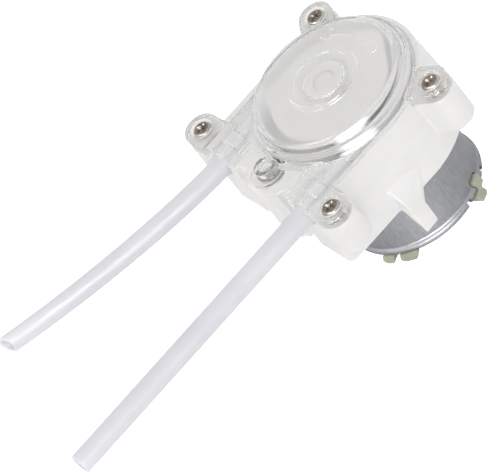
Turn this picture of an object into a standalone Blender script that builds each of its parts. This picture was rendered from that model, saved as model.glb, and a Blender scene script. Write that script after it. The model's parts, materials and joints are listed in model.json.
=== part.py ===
"""Peristaltic pump: a flat DC motor turns three rollers that squeeze a silicone tube against a round track.

The frame's origin is the centre of the boss at the motor's rear, on the rotor's axis. +Z runs from
the motor to the clear cover, and the two tubes leave towards -Y. Sizes in this file are millimetres,
and MM turns them into metres. Heights are counted from the housing's rear face, and ORIGIN_LIFT
carries them to the frame's origin.
"""

import math

import bmesh
import bpy
from mathutils import Matrix, Vector

MM = 0.001
WELD = 0.000001
GAP = 0.2  # between surfaces that touch on the real pump

# Tube and rollers, which set the size of everything else
TUBE_R = 2.5
TUBE_WALL = 1.0
TUBE_Z = 14.2
TRACK_TUBE_R = 15.3  # from the rotor's axis to the middle of the unsqueezed tube
SQUEEZED = 1.8  # the tube's thickness under a roller
INLET_LENGTH = 59.0  # of free tube in front of the housing
OUTLET_END_Y = -96.7
ROLLER_R = 4.0
ROLLER_ORBIT_R = TRACK_TUBE_R + TUBE_R - SQUEEZED - ROLLER_R
ROLLER_BOTTOM = 10.8
ROLLER_TOP = 17.6
REST_DEG = 92.0  # where the first roller stands at rest
ROLLER_DEGS = [REST_DEG + 120.0 * i for i in range(3)]

# Housing
TRACK_R = TRACK_TUBE_R + TUBE_R + GAP
FOOT_R = 21.8  # the housing's rear edge; its walls lean in a little towards the cover
FOOT_X = 21.2
RIM_R = 20.9
RIM_X = 20.6
RIM_INNER = 19.3
RIM_TOP = 17.3
BODY_TOP = 15.5
FLOOR_BOTTOM = 7.0
FLOOR_TOP = 9.0
FRONT_Y = -25.5  # the face that the tubes leave through
FRONT_GROOVES = (5.8, 9.9)  # the two upright hollows in that face
COLUMN_R = 4.2
FRONT_COLUMN_BOTTOM = 6.8
REAR_COLUMN_BOTTOM = 5.6
FRONT_SCREW = (23.9, -22.0)
REAR_SCREW = (20.9, 12.6)
SCREWS = {
    "front_left": (-FRONT_SCREW[0], FRONT_SCREW[1]),
    "front_right": FRONT_SCREW,
    "rear_left": (-REAR_SCREW[0], REAR_SCREW[1]),
    "rear_right": REAR_SCREW,
}
POST_XY = (0.0, -21.7)  # the cover's locating post, between the tubes
POST_R = 2.8
POST_BOTTOM = 10.6
NOSE_FRONT_Y = -26.5
CHANNEL_HALF = TUBE_R + GAP - 0.04  # half the width of the tube's channel in the housing
BULGE_Y = -12.0  # from here to the axis the tube's channel is deeper, as rollers flatten the tube there
BULGE_BOTTOM = 10.6
STOP_Y = (-21.6, -18.6)  # the pockets of the tube stops
STOP_R = 3.2

# Cover
FLANGE_BOTTOM = BODY_TOP + GAP
FLANGE_LIP = RIM_TOP + GAP
FLANGE_TOP = 18.0
PLUG_R = RIM_INNER - GAP
EAR_TOP = 18.5
ARM_INNER_X = 11.0
ARM_FRONT_Y = -25.2
RIDGE_TOP = 18.6
RIDGE_HALF = 3.1
DOME_STEP = (19.3, 20.2)
DOME_R = 17.0
DOME_TOP = 22.3
BOSS_R = 8.5
BOSS_TOP = 23.6
BUSH_R = 4.8
SPIGOT_R = 2.4

# Motor
CAN_R = 16.2
CAN_WALL = 1.0
CAN_BACK = -18.7
CAN_FRONT = FLOOR_BOTTOM - GAP
CAN_LIP_R = 17.0
MOTOR_BOSS_R = 5.0
SHAFT_R = 1.0
TALL_LUG_DEGS = (29.0, 209.0)
LUG_BAR_TURN, LUG_LOBE_TURN = 3.0, -4.0  # where a tall lug's two halves sit, in degrees from its middle
LUG_BAR_NOTCH = (1.65, 3.0)  # half the width, height
LUG_LOBE_NOTCH = (1.85, 0.7)
SHORT_LUGS = ((-46.0, 2.2), (-63.0, 1.5), (134.0, 2.2), (117.0, 1.5))  # degrees, half the width
SHORT_LUG_GAP, SHORT_LUG_NOTCH = 0.25, 0.6
RIM_NOTCH_DEGS = (14.5, 45.5, 194.5, 225.5)
RIM_NOTCH = (0.6, 1.3)
LUG_BOTTOM = -20.75
LUG_BAR = ((-15.9, 1.2, 17.0), (-16.5, 1.4, 17.2), (-18.6, 1.4, 17.5))  # height, half the width, reach
LUG_LOBE = ((-18.25, 1.5, 17.5), (-19.3, 1.6, 18.4), (-20.2, 1.1, 18.3), (LUG_BOTTOM, 0.5, 17.5))
SHORT_LUG = ((-18.35, 1.0, 17.2), (-19.2, 1.0, 18.1), (-20.1, 0.65, 18.0), (LUG_BOTTOM, 0.3, 17.4))
REAR_BOSS_R = 5.0
REAR_BOSS_BOTTOM = -20.9
ORIGIN_LIFT = -REAR_BOSS_BOTTOM
MOTOR_SCREW_X = 8.0
MAGNET_R = (11.8, 14.9)
MAGNET_HALF_DEG = 62.0
MAGNET_Z = (-12.0, 3.5)
CORE_Z = (-9.0, 1.0)
CORE_HUB_R = 3.4
POLE_HALF = 1.2
SHOE_R = (9.8, 11.3)
COMMUTATOR_R = 2.8
COMMUTATOR_Z = (-15.2, -11.6)
TERMINAL_X = 9.0

FINISHES = {
    "clear_plastic": ((0.93, 0.94, 0.95), 0.05, 0.0),
    "white_plastic": ((0.90, 0.90, 0.89), 0.40, 0.0),
    "silicone": ((0.88, 0.88, 0.90), 0.45, 0.0),
    "roller_plastic": ((0.86, 0.86, 0.84), 0.30, 0.0),
    "ivory_plastic": ((0.72, 0.74, 0.60), 0.45, 0.0),
    "nickel": ((0.62, 0.58, 0.54), 0.22, 1.0),
    "zinc_steel": ((0.42, 0.43, 0.46), 0.45, 1.0),
    "steel": ((0.60, 0.60, 0.62), 0.25, 1.0),
    "bronze": ((0.55, 0.40, 0.22), 0.45, 1.0),
    "copper": ((0.72, 0.36, 0.18), 0.35, 1.0),
    "brass": ((0.76, 0.60, 0.30), 0.30, 1.0),
    "ferrite": ((0.10, 0.10, 0.11), 0.70, 0.0),
    "carbon": ((0.06, 0.06, 0.06), 0.60, 0.0),
    "lamination": ((0.33, 0.34, 0.36), 0.50, 1.0),
}


# ---------------------------------------------------------------- tools


def finish_named(name):
    """The Principled material of that finish, made on first use."""
    found = bpy.data.materials.get(name)
    if found:
        return found
    colour, roughness, metallic = FINISHES[name]
    material = bpy.data.materials.new(name)
    material.use_nodes = True
    shader = material.node_tree.nodes["Principled BSDF"]
    shader.inputs["Base Color"].default_value = (*colour, 1.0)
    shader.inputs["Roughness"].default_value = roughness
    shader.inputs["Metallic"].default_value = metallic
    return material


def to_object(name, bm, finish):
    """Closes a bmesh of millimetres into a named object in metres."""
    bmesh.ops.recalc_face_normals(bm, faces=bm.faces)
    bmesh.ops.scale(bm, vec=(MM, MM, MM), verts=bm.verts)
    mesh = bpy.data.meshes.new(name)
    bm.to_mesh(mesh)
    bm.free()
    mesh.materials.append(finish_named(finish))
    mesh.shade_smooth()
    mesh.set_sharp_from_angle(angle=math.radians(35))
    obj = bpy.data.objects.new(name, mesh)
    bpy.context.scene.collection.objects.link(obj)
    return obj


def turned(name, profile, finish="white_plastic", segments=48, centre=(0.0, 0.0)):
    """A solid turned about an upright axis at centre, from a closed outline of (radius, height) points."""
    bm = bmesh.new()
    verts = [bm.verts.new((r, 0.0, z)) for r, z in profile]
    pairs = zip(verts, verts[1:] + verts[:1])
    edges = [bm.edges.new(pair) for pair in pairs if pair[0].co.x + pair[1].co.x > 0]
    bmesh.ops.spin(
        bm,
        geom=verts + edges,
        axis=(0, 0, 1),
        cent=(0, 0, 0),
        angle=2 * math.pi,
        steps=segments,
        use_merge=True,
    )
    bmesh.ops.remove_doubles(bm, verts=bm.verts, dist=0.0001)
    bmesh.ops.translate(bm, vec=(*centre, 0.0), verts=bm.verts)
    return to_object(name, bm, finish)


def rod(name, radius, bottom, top, finish="white_plastic", segments=24, centre=(0.0, 0.0)):
    return turned(name, [(0, bottom), (radius, bottom), (radius, top), (0, top)], finish, segments, centre)


def ring(name, inner, outer, bottom, top, finish, segments=32, centre=(0.0, 0.0)):
    outline = [(inner, bottom), (outer, bottom), (outer, top), (inner, top)]
    return turned(name, outline, finish, segments, centre)


def prism(name, outline, bottom, top, finish="white_plastic"):
    """An outline of (x, y) points carried from one height to another."""
    bm = bmesh.new()
    face = bm.faces.new([bm.verts.new((x, y, bottom)) for x, y in outline])
    side = bmesh.ops.extrude_face_region(bm, geom=[face])
    raised = [v for v in side["geom"] if isinstance(v, bmesh.types.BMVert)]
    bmesh.ops.translate(bm, vec=(0, 0, top - bottom), verts=raised)
    return to_object(name, bm, finish)


def box(name, low, high, finish="white_plastic"):
    corners = [(low[0], low[1]), (high[0], low[1]), (high[0], high[1]), (low[0], high[1])]
    return prism(name, corners, low[2], high[2], finish)


def hull(name, points, finish="white_plastic"):
    """The convex solid through a few corner points."""
    bm = bmesh.new()
    for point in points:
        bm.verts.new(point)
    bmesh.ops.convex_hull(bm, input=bm.verts)
    return to_object(name, bm, finish)


def lying_rod(name, radius, x, z, y_from, y_to):
    """A cylinder along Y, used as a cutter for the tube's channels."""
    made = rod(name, radius, y_from, y_to, segments=24)
    made.data.transform(Matrix.Translation((x * MM, 0, z * MM)) @ Matrix.Rotation(-math.pi / 2, 4, "X"))
    return made


def arc(centre, radius, start, end, steps):
    """Points on an arc, from one angle in degrees to another."""
    angles = [math.radians(start + (end - start) * i / steps) for i in range(steps + 1)]
    return [(centre[0] + radius * math.cos(a), centre[1] + radius * math.sin(a)) for a in angles]


def polar(radius, degrees):
    return radius * math.cos(math.radians(degrees)), radius * math.sin(math.radians(degrees))


def weld(mesh):
    """Makes one point of those closer than a micrometre, so that later cuts find a closed surface."""
    bm = bmesh.new()
    bm.from_mesh(mesh)
    bmesh.ops.remove_doubles(bm, verts=bm.verts, dist=WELD)
    bmesh.ops.dissolve_degenerate(bm, edges=bm.edges, dist=WELD)
    bm.to_mesh(mesh)
    bm.free()


def combine(target, tool, operation):
    """Applies one Boolean to the target and removes the tool."""
    modifier = target.modifiers.new(operation, "BOOLEAN")
    modifier.operation = operation
    modifier.solver = "EXACT"
    modifier.object = tool
    graph = bpy.context.evaluated_depsgraph_get()
    mesh = bpy.data.meshes.new_from_object(target.evaluated_get(graph))
    weld(mesh)
    target.modifiers.clear()
    target.data = mesh
    bpy.data.objects.remove(tool)
    return target


def join(target, *tools):
    for tool in tools:
        combine(target, tool, "UNION")
    return target


def cut(target, *tools):
    for tool in tools:
        combine(target, tool, "DIFFERENCE")
    return target


def clear_scene():
    for obj in list(bpy.data.objects):
        bpy.data.objects.remove(obj)


# ---------------------------------------------------------------- housing


def horseshoe(radius, half_width, front_y):
    """The plan of the housing: an arc at the back and straight sides down to rounded front corners."""
    turn = math.degrees(math.acos(half_width / radius))
    corner = 1.5
    left = arc((corner - half_width, front_y + corner), corner, 180, 270, 3)
    right = arc((half_width - corner, front_y + corner), corner, 270, 360, 3)
    return [*arc((0, 0), radius, -turn, 180 + turn, 32), *left, *right]


def leaning_prism(name, lower, upper, bottom, top, finish="white_plastic"):
    """A solid between two outlines with the same number of points, one at each height."""
    bm = bmesh.new()
    low = [bm.verts.new((x, y, bottom)) for x, y in lower]
    high = [bm.verts.new((x, y, top)) for x, y in upper]
    bm.faces.new(low)
    bm.faces.new(high)
    for i in range(len(low)):
        j = (i + 1) % len(low)
        bm.faces.new((low[i], low[j], high[j], high[i]))
    return to_object(name, bm, finish)


def front_column(side, radius):
    """A round column that roots in the side wall."""
    x, y = FRONT_SCREW
    outline = [*arc((x, y), radius, -110, 110, 16), (x - 6.0, y + radius - 0.5), (x - 6.0, y - radius + 1.5)]
    return [(side * px, py) for px, py in outline]


def rear_column(side, radius):
    """A round column that roots in the round wall behind it."""
    x, y = REAR_SCREW
    outline = [*arc((x, y), radius, -75, 130, 16), (12.5, 14.5), (17.0, 5.5)]
    return [(side * px, py) for px, py in outline]


def ear_plan(side, rear, radius):
    """The plan of one of the cover's screw ears, or of the room for it."""
    x, y = REAR_SCREW if rear else FRONT_SCREW
    reach = 5.0
    facing = 31 if rear else 0
    outer = arc((x, y), radius, facing - 90, facing + 90, 16)
    inward = Vector(polar(reach, facing + 180))
    roots = [(px + inward.x, py + inward.y) for px, py in (outer[-1], outer[0])]
    return [(side * px, py) for px, py in outer + roots]


def snap_rib(side):
    """The panel clip on a side wall: a ramp out of the wall, and its tongue beside the motor."""
    ridge_front, ridge_rear = (23.2, -9.1, 1.8), (23.4, -5.1, 0.6)
    ramp = [
        (20.0, -0.1, 6.1),
        (20.0, -9.8, 6.3),
        (20.0, -2.6, 0.1),
        (20.0, -10.1, 0.1),
        (21.05, -0.1, 6.1),
        (21.05, -9.8, 6.3),
        (21.15, -2.6, 0.1),
        (21.15, -10.1, 0.1),
        (23.6, -9.0, -0.7),
        (23.65, -5.4, -1.7),
        ridge_front,
        ridge_rear,
    ]
    tongue = [
        ridge_front,
        ridge_rear,
        (21.2, -9.9, 0.3),
        (21.7, -4.7, 0.3),
        (24.2, -5.7, -6.7),
        (24.2, -9.2, -6.9),
        (25.0, -5.7, -6.4),
        (25.0, -9.2, -6.6),
    ]
    shapes = {"ramp": ramp, "tongue": tongue}
    return [hull(f"{name}_{side}", [(x * side, y, z) for x, y, z in shapes[name]]) for name in shapes]


def tube_channels(prefix, radius, y_from, y_to):
    return [lying_rod(f"{prefix}_{s}", radius, s * TRACK_TUBE_R, TUBE_Z, y_from, y_to) for s in (-1, 1)]


def stop_pockets(prefix):
    """The room round the two tube stops, cut from the housing and from the cover."""
    half = STOP_R + GAP
    pockets = []
    for side in (-1, 1):
        x = side * TRACK_TUBE_R
        low = (x - half, STOP_Y[0] - GAP, TUBE_Z - half)
        high = (x + half, STOP_Y[1] + GAP, TUBE_Z + half)
        pockets.append(box(f"{prefix}_{side}", low, high))
    return pockets


def body_walls():
    """The outside of the housing, before it is hollowed."""
    body = leaning_prism(
        "pump_body",
        horseshoe(FOOT_R, FOOT_X, FRONT_Y),
        horseshoe(RIM_R, RIM_X, FRONT_Y + 0.1),
        0.0,
        RIM_TOP,
    )
    for side in (-1, 1):
        near, far = sorted((side * FRONT_GROOVES[0], side * FRONT_GROOVES[1]))
        cut(body, box("front_groove", (near, FRONT_Y - 1, -1), (far, FRONT_Y + 1.6, RIM_TOP + 1)))
    nose_x = FRONT_GROOVES[0] - 0.3
    nose = [(-nose_x, -22.0), (-nose_x, -25.0), (1.5 - nose_x, NOSE_FRONT_Y)]
    join(body, prism("nose", nose + [(-x, y) for x, y in reversed(nose)], 0.01, BODY_TOP + 0.5))
    for side in (-1, 1):
        join(body, prism("column", front_column(side, COLUMN_R), FRONT_COLUMN_BOTTOM, RIM_TOP - 0.5))
        join(body, prism("column", rear_column(side, COLUMN_R + 0.1), REAR_COLUMN_BOTTOM, RIM_TOP - 0.6))
        join(body, *snap_rib(side))
    return body


def lower_the_top(body):
    """Cuts away all but the rim above the level that the cover's plate and ears rest on."""
    high = RIM_TOP + 1.0
    middle = ARM_INNER_X - 1.0
    cut(body, rod("plate", RIM_INNER, BODY_TOP, high, segments=48))
    cut(body, box("front_top", (-RIM_INNER, FRONT_Y - 2, BODY_TOP), (RIM_INNER, 0.0, high)))
    cut(body, box("nose_top", (-middle, FRONT_Y - 2, BODY_TOP), (middle, -10.0, high)))
    for side in (-1, 1):
        for rear in (True, False):
            cut(body, prism("ear_room", ear_plan(side, rear, COLUMN_R + 0.3), BODY_TOP, high))


def motor_seat(body):
    cut(body, rod("cup", CAN_R + GAP, -1.0, FLOOR_BOTTOM, segments=48))
    cut(body, rod("boss_hole", MOTOR_BOSS_R + GAP, FLOOR_BOTTOM - 1, FLOOR_TOP + 1))
    for side in (-1, 1):
        x = side * MOTOR_SCREW_X
        cut(body, rod("screw_hole", SHAFT_R + 0.5, FLOOR_BOTTOM - 1, FLOOR_TOP, centre=(x, 0)))
        cut(body, rod("counterbore", 2.5, FLOOR_TOP - 1.1, FLOOR_TOP + 1, centre=(x, 0)))


def pump_body():
    body = body_walls()
    lower_the_top(body)
    motor_seat(body)
    above = BODY_TOP + 1.0
    cut(body, rod("track", TRACK_R, FLOOR_TOP, above, segments=48))
    cut(body, rod("post_pocket", POST_R + GAP, POST_BOTTOM - GAP, above, centre=POST_XY))
    bulge_half = CHANNEL_HALF - 0.04
    for side in (-1, 1):
        x = side * TRACK_TUBE_R
        low = (x - bulge_half, BULGE_Y, BULGE_BOTTOM)
        cut(body, box("slot", (x - CHANNEL_HALF, FRONT_Y - 2, TUBE_Z), (x + CHANNEL_HALF, 0.0, above)))
        cut(body, box("bulge_room", low, (x + bulge_half, -0.3, TUBE_Z + 0.5)))
    cut(body, *tube_channels("groove", CHANNEL_HALF, FRONT_Y - 2, 0.0))
    cut(body, *stop_pockets("pocket"))
    for screw in SCREWS.values():
        cut(body, rod("pilot", 1.5, 8.0, above, segments=16, centre=screw))
    return body


# ---------------------------------------------------------------- cover


def cover_shell(name):
    """The turned middle of the cover: a stepped dome, its boss, and the rotor's pocket inside."""
    inner_r = TRACK_R + GAP
    outside = [
        (18.7, FLANGE_BOTTOM),
        (18.7, FLANGE_TOP - 0.4),
        (20.0, FLANGE_TOP - 0.4),
        (20.0, FLANGE_TOP),
        DOME_STEP,
        (DOME_STEP[0] - 1.0, DOME_STEP[1]),
        (DOME_R + 0.4, DOME_TOP - 0.3),
        (DOME_R, DOME_TOP),
        (BOSS_R, DOME_TOP),
        (BOSS_R - 0.3, BOSS_TOP - 0.4),
        (BOSS_R - 0.7, BOSS_TOP),
        (7.0, BOSS_TOP),
        (6.7, BOSS_TOP - 0.4),
        (0, BOSS_TOP - 0.4),
    ]
    inside = [
        (0, 22.0),
        (BUSH_R + GAP, 22.0),
        (BUSH_R + GAP, 20.7),
        (16.6, 20.7),
        (17.0, 19.3),
        (inner_r, 18.2),
        (inner_r, FLANGE_BOTTOM),
    ]
    return turned(name, outside + inside, "clear_plastic", segments=48)


def cover_plate():
    """The flat outside of the cover: a thin lip over the housing's rim and a thicker plate inside it."""
    bore = TRACK_R + GAP + 0.25
    plate = ring("plate", bore, PLUG_R, FLANGE_BOTTOM, FLANGE_TOP, "clear_plastic", 48)
    join(plate, ring("lip", bore + 0.2, RIM_R, FLANGE_LIP, FLANGE_TOP, "clear_plastic", 48))
    for side in (-1, 1):
        inner, outer = sorted((side * ARM_INNER_X, side * PLUG_R))
        arm = box("arm", (inner, ARM_FRONT_Y, FLANGE_BOTTOM), (outer, -3.0, FLANGE_TOP))
        inner, outer = sorted((side * 17.0, side * RIM_X))
        join(arm, box("arm_lip", (inner, ARM_FRONT_Y, FLANGE_LIP), (outer, -3.5, FLANGE_TOP)))
        cut(arm, rod("arm_bore", bore + 0.1, 0, 30, segments=48))
        join(plate, arm)
    return plate


def cover_post():
    """The locating post, on a round tab at the front of the plate."""
    tab = rod("tab", 4.1, FLANGE_BOTTOM, FLANGE_BOTTOM + 1.2, "clear_plastic", centre=(0.0, -22.2))
    cut(tab, rod("tab_bore", TRACK_R + 0.55, 0, 30, segments=48))
    return join(tab, rod("post", POST_R, POST_BOTTOM, EAR_TOP, centre=POST_XY))


def pump_cover():
    cover = join(cover_shell("pump_cover"), cover_plate(), cover_post())
    for side in (-1, 1):
        ridge_x = side * TRACK_TUBE_R
        low = (ridge_x - RIDGE_HALF, ARM_FRONT_Y + 0.6, FLANGE_BOTTOM + 1.0)
        high = (ridge_x + RIDGE_HALF, -13.0, RIDGE_TOP)
        join(cover, box("ridge", low, high, "clear_plastic"))
        for rear in (True, False):
            ear = prism("ear", ear_plan(side, rear, COLUMN_R - 0.1), FLANGE_BOTTOM, EAR_TOP, "clear_plastic")
            cut(ear, rod("ear_bore", TRACK_R + 0.62, 0, 30, segments=48))
            join(cover, ear)
    cut(cover, rod("post_hole", 1.7, 12.0, EAR_TOP + 1, centre=POST_XY))
    for screw in SCREWS.values():
        cut(cover, rod("counterbore", 2.6, 17.0, EAR_TOP + 1, centre=screw))
        cut(cover, rod("clearance", 1.5, FLANGE_BOTTOM - 1, 17.5, segments=16, centre=screw))
    cut(cover, *tube_channels("channel", TUBE_R + GAP, FRONT_Y - 1, -1.0))
    for side in (-1, 1):
        inner, outer = sorted((side * (TRACK_TUBE_R - 2.9), side * (TRACK_TUBE_R + 2.8)))
        cut(cover, box("relief", (inner, -11.0, FLANGE_BOTTOM - 1), (outer, 1.0, 17.7)))
    cut(cover, *stop_pockets("pocket"))
    return cover


# ---------------------------------------------------------------- tube


def inlet_bend(distance):
    """How far the inlet tube has bent sideways at a distance in front of the housing."""
    return 0.0943 * (math.sqrt(distance**2 + 36.0) - 6.0) + 0.00222 * distance**2


def tube_path():
    """Stations along the tube from inlet end to outlet end: (point, direction towards the track's wall)."""
    stations = []
    for distance in (INLET_LENGTH, 48, 38, 28, 18, 10, 4, 0):
        slope = (inlet_bend(distance + 0.1) - inlet_bend(max(distance - 0.1, 0))) / 0.2
        normal = Vector((-1.0, -slope)).normalized() if distance else Vector((-1.0, 0.0))
        point = Vector((-TRACK_TUBE_R - inlet_bend(distance), FRONT_Y - distance))
        stations.append((point, normal))
    near_roller = [-14.0, -12.5, -11.0, -9.5, -8.0, -6.5, -5.0, -3.5, -2.0]
    stations += [(Vector((-TRACK_TUBE_R, y)), Vector((-1.0, 0.0))) for y in near_roller]
    for step in range(25):
        normal = Vector(polar(1.0, 180 - 7.5 * step))
        stations.append((normal * TRACK_TUBE_R, normal))
    stations += [(Vector((TRACK_TUBE_R, y)), Vector((1.0, 0.0))) for y in reversed(near_roller)]
    stations += [(Vector((TRACK_TUBE_R, y)), Vector((1.0, 0.0))) for y in (FRONT_Y, OUTLET_END_Y)]
    return stations


def tube_room(point, normal):
    """The thickness that the rollers at rest leave the tube at a station, in from the track's wall."""
    wall = point + normal * TUBE_R
    room = 2 * TUBE_R
    for degrees in ROLLER_DEGS:
        offset = wall - Vector(polar(ROLLER_ORBIT_R, degrees))
        along = offset.dot(normal)
        inside = along**2 - offset.length_squared + (ROLLER_R + 0.1) ** 2
        if inside > 0 and along > 0:
            room = min(room, along - math.sqrt(inside))
    return max(room, SQUEEZED - 0.15)


def tube_sections():
    """Each station with its thickness, evened out so that the tube bends in gently at a roller."""
    stations = tube_path()
    rooms = [tube_room(*station) for station in stations]
    lowest = [min(rooms[max(i - 1, 0) : i + 2]) for i in range(len(rooms))]
    windows = [lowest[max(i - 1, 0) : i + 2] for i in range(len(rooms))]
    thickness = [sum(window) / len(window) for window in windows]
    return [(point, normal, t) for (point, normal), t in zip(stations, thickness)]


def pump_tube():
    """One silicone tube, round where it is free and flat where a roller presses it."""
    bm = bmesh.new()
    around = 12
    loops = []
    for point, normal, thick in tube_sections():
        middle = point + normal * (TUBE_R - thick / 2)
        height = TUBE_WALL + math.pi * (TUBE_R - TUBE_WALL / 2) - (math.pi / 2 - 1) * (thick - TUBE_WALL)
        height = 2 * TUBE_R if thick > 2 * TUBE_R - 0.01 else height
        wall = min(TUBE_WALL, (thick - 0.16) / 2)
        section = []
        for half_thick, half_high in ((thick / 2, height / 2), (thick / 2 - wall, height / 2 - TUBE_WALL)):
            loop = []
            for step in range(around):
                across, up = polar(1.0, 360 * step / around)
                spot = middle + normal * half_thick * across
                loop.append(bm.verts.new((spot.x, spot.y, TUBE_Z + half_high * up)))
            section.append(loop)
        loops.append(section)
    for (outer_a, inner_a), (outer_b, inner_b) in zip(loops, loops[1:]):
        for i in range(around):
            j = (i + 1) % around
            bm.faces.new((outer_a[i], outer_a[j], outer_b[j], outer_b[i]))
            bm.faces.new((inner_a[i], inner_b[i], inner_b[j], inner_a[j]))
    for outer, inner in (loops[0], loops[-1]):
        for i in range(around):
            j = (i + 1) % around
            bm.faces.new((outer[i], inner[i], inner[j], outer[j]))
    return to_object("pump_tube", bm, "silicone")


def tube_stop(name, side):
    """The ring glued round the tube that keeps it from creeping through the pump."""
    made = ring(name, TUBE_R + GAP, STOP_R, STOP_Y[0], STOP_Y[1], "silicone", segments=24)
    turn = Matrix.Rotation(-math.pi / 2, 4, "X")
    made.data.transform(Matrix.Translation((side * TRACK_TUBE_R * MM, 0, TUBE_Z * MM)) @ turn)
    return made


# ---------------------------------------------------------------- rotor and rollers


def trefoil(orbit, lobe, waist, spread, waist_spread):
    """Three round lobes joined by shallow hollows, one lobe over each roller."""
    outline = []
    for degrees in ROLLER_DEGS:
        hollow = degrees + 60
        outline += arc(polar(orbit, degrees), lobe, degrees - spread, degrees + spread, 12)
        outline += arc((0, 0), waist, hollow - waist_spread, hollow + waist_spread, 6)
    return outline


def rotor_base():
    base = prism("rotor_base", trefoil(11.0, 3.6, 9.2, 80, 18), 9.3, 10.5, "roller_plastic")
    join(base, rod("hub", 4.5, 10.4, 17.5, segments=32))
    shaft_room = rod("bore", SHAFT_R + GAP, 8, 16.6)
    cut(base, shaft_room)
    for degrees in ROLLER_DEGS:
        cut(base, rod("pin_hole", SHAFT_R + GAP, 8, 12, centre=polar(ROLLER_ORBIT_R, degrees)))
    return base


def rotor_top():
    top = prism("rotor_top", trefoil(11.6, 4.6, 14.0, 55, 30), 17.9, 19.3, "roller_plastic")
    join(top, rod("spigot", SPIGOT_R, 19.2, 21.7, segments=32))
    for degrees in ROLLER_DEGS:
        cut(top, rod("pin_hole", SHAFT_R + GAP, 17, 19.0, centre=polar(ROLLER_ORBIT_R, degrees)))
    return top


def rollers():
    """The rollers and their bushes have their origins on the pins that they turn on."""
    for number, degrees in enumerate(ROLLER_DEGS, start=1):
        centre = polar(ROLLER_ORBIT_R, degrees)
        bottom, top = ROLLER_BOTTOM + 0.1, ROLLER_TOP - 0.1
        roller = ring(f"roller_{number}", 2.2, ROLLER_R, ROLLER_BOTTOM, ROLLER_TOP, "roller_plastic", 24)
        bush = ring(f"roller_bush_{number}", 1.3, 2.0, bottom, top, "bronze", 16)
        roller.location = bush.location = (centre[0] * MM, centre[1] * MM, 0)
        rod(f"roller_pin_{number}", SHAFT_R, 9.5, 18.8, "steel", 12, centre)


# ---------------------------------------------------------------- fasteners


def cross_screw(name, centre, head_r, head_bottom, head_top, shank_r, tip):
    """A pan-head screw with a cross recess; its threads are left out of this solid."""
    outline = [
        (0, tip),
        (shank_r * 0.4, tip),
        (shank_r, tip + 1.2),
        (shank_r, head_bottom),
        (head_r, head_bottom),
        (head_r, head_top - 0.5),
        (head_r * 0.75, head_top),
        (0, head_top),
    ]
    screw = turned(name, outline, "nickel", 16, centre)
    depth = min(1.0, (head_top - head_bottom) * 0.7)
    for long_x, long_y in ((head_r * 0.62, 0.28), (0.28, head_r * 0.62)):
        low = (centre[0] - long_x, centre[1] - long_y, head_top - depth)
        high = (centre[0] + long_x, centre[1] + long_y, head_top + 1)
        cut(screw, box("recess", low, high))
    return screw


# ---------------------------------------------------------------- motor


def rim_notch(degrees, half, height):
    """The cutter for a notch of that height in the can's open rim."""
    notch = box("notch", (CAN_R - 3, -half, CAN_BACK - 1), (CAN_LIP_R + 1, half, CAN_BACK + height))
    notch.data.transform(Matrix.Rotation(math.radians(degrees), 4, "Z"))
    return notch


def motor_can():
    """The deep-drawn can: open and lipped at the back, with a bearing boss at the front."""
    inner = CAN_R - CAN_WALL
    outline = [
        (inner, CAN_BACK),
        (CAN_LIP_R, CAN_BACK),
        (CAN_LIP_R, CAN_BACK + 1.0),
        (CAN_R, CAN_BACK + 1.4),
        (CAN_R, CAN_FRONT - 1.0),
        (CAN_R - 1.0, CAN_FRONT),
        (MOTOR_BOSS_R, CAN_FRONT),
        (MOTOR_BOSS_R, 8.6),
        (3.2, 8.6),
        (3.2, CAN_FRONT - CAN_WALL),
        (inner, CAN_FRONT - CAN_WALL),
    ]
    can = turned("motor_can", outline, "zinc_steel", 48)
    for degrees in TALL_LUG_DEGS:
        bar = rim_notch(degrees + LUG_BAR_TURN, *LUG_BAR_NOTCH)
        lobe = rim_notch(degrees + LUG_LOBE_TURN, *LUG_LOBE_NOTCH)
        cut(can, bar, lobe)
    for degrees, half in SHORT_LUGS:
        cut(can, rim_notch(degrees, half + SHORT_LUG_GAP, SHORT_LUG_NOTCH))
    for degrees in RIM_NOTCH_DEGS:
        cut(can, rim_notch(degrees, *RIM_NOTCH))
    for side in (-1, 1):
        place = (side * MOTOR_SCREW_X, 0)
        cut(can, rod("screw_hole", 1.5, CAN_FRONT - 2, CAN_FRONT + 1, segments=16, centre=place))
    return can


def end_cap_lug(degrees, root, sections):
    """A clip out through a notch in the can, from its half width and reach at several heights."""
    points = [(r, y, z) for z, half, reach in sections for r in (root, reach) for y in (-half, half)]
    lug = hull("lug", points, "ivory_plastic")
    lug.data.transform(Matrix.Rotation(math.radians(degrees), 4, "Z"))
    return lug


def end_cap_lugs(root):
    """Two tall lugs that rise on the can's side, each with a lobe behind its rim, and four short ones."""
    lugs = []
    for degrees in TALL_LUG_DEGS:
        lugs.append(end_cap_lug(degrees + LUG_BAR_TURN, root, LUG_BAR))
        lugs.append(end_cap_lug(degrees + LUG_LOBE_TURN, root, LUG_LOBE))
    for degrees, half in SHORT_LUGS:
        sections = [(z, half * share, reach) for z, share, reach in SHORT_LUG]
        lugs.append(end_cap_lug(degrees, root, sections))
    return lugs


def motor_end_cap():
    """The moulded end cap: a plate with a closed bearing boss, and lugs that clip through the can."""
    inner = CAN_R - CAN_WALL - GAP
    outline = [
        (0, REAR_BOSS_BOTTOM),
        (REAR_BOSS_R, REAR_BOSS_BOTTOM),
        (REAR_BOSS_R, -19.2),
        (inner, -19.2),
        (inner, -16.6),
        (inner - 1.2, -16.6),
        (inner - 1.2, -17.4),
        (REAR_BOSS_R, -17.4),
        (REAR_BOSS_R, -16.2),
        (2.9, -16.2),
        (2.9, -19.1),
        (0, -19.1),
    ]
    cap = turned("motor_end_cap", outline, "ivory_plastic", 48)
    join(cap, *end_cap_lugs(inner - 1.5))
    for x in (-TERMINAL_X, TERMINAL_X):
        cut(cap, box("terminal_slot", (x - 1.5, -0.6, -21), (x + 1.5, 0.6, -15)))
    return cap


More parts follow.
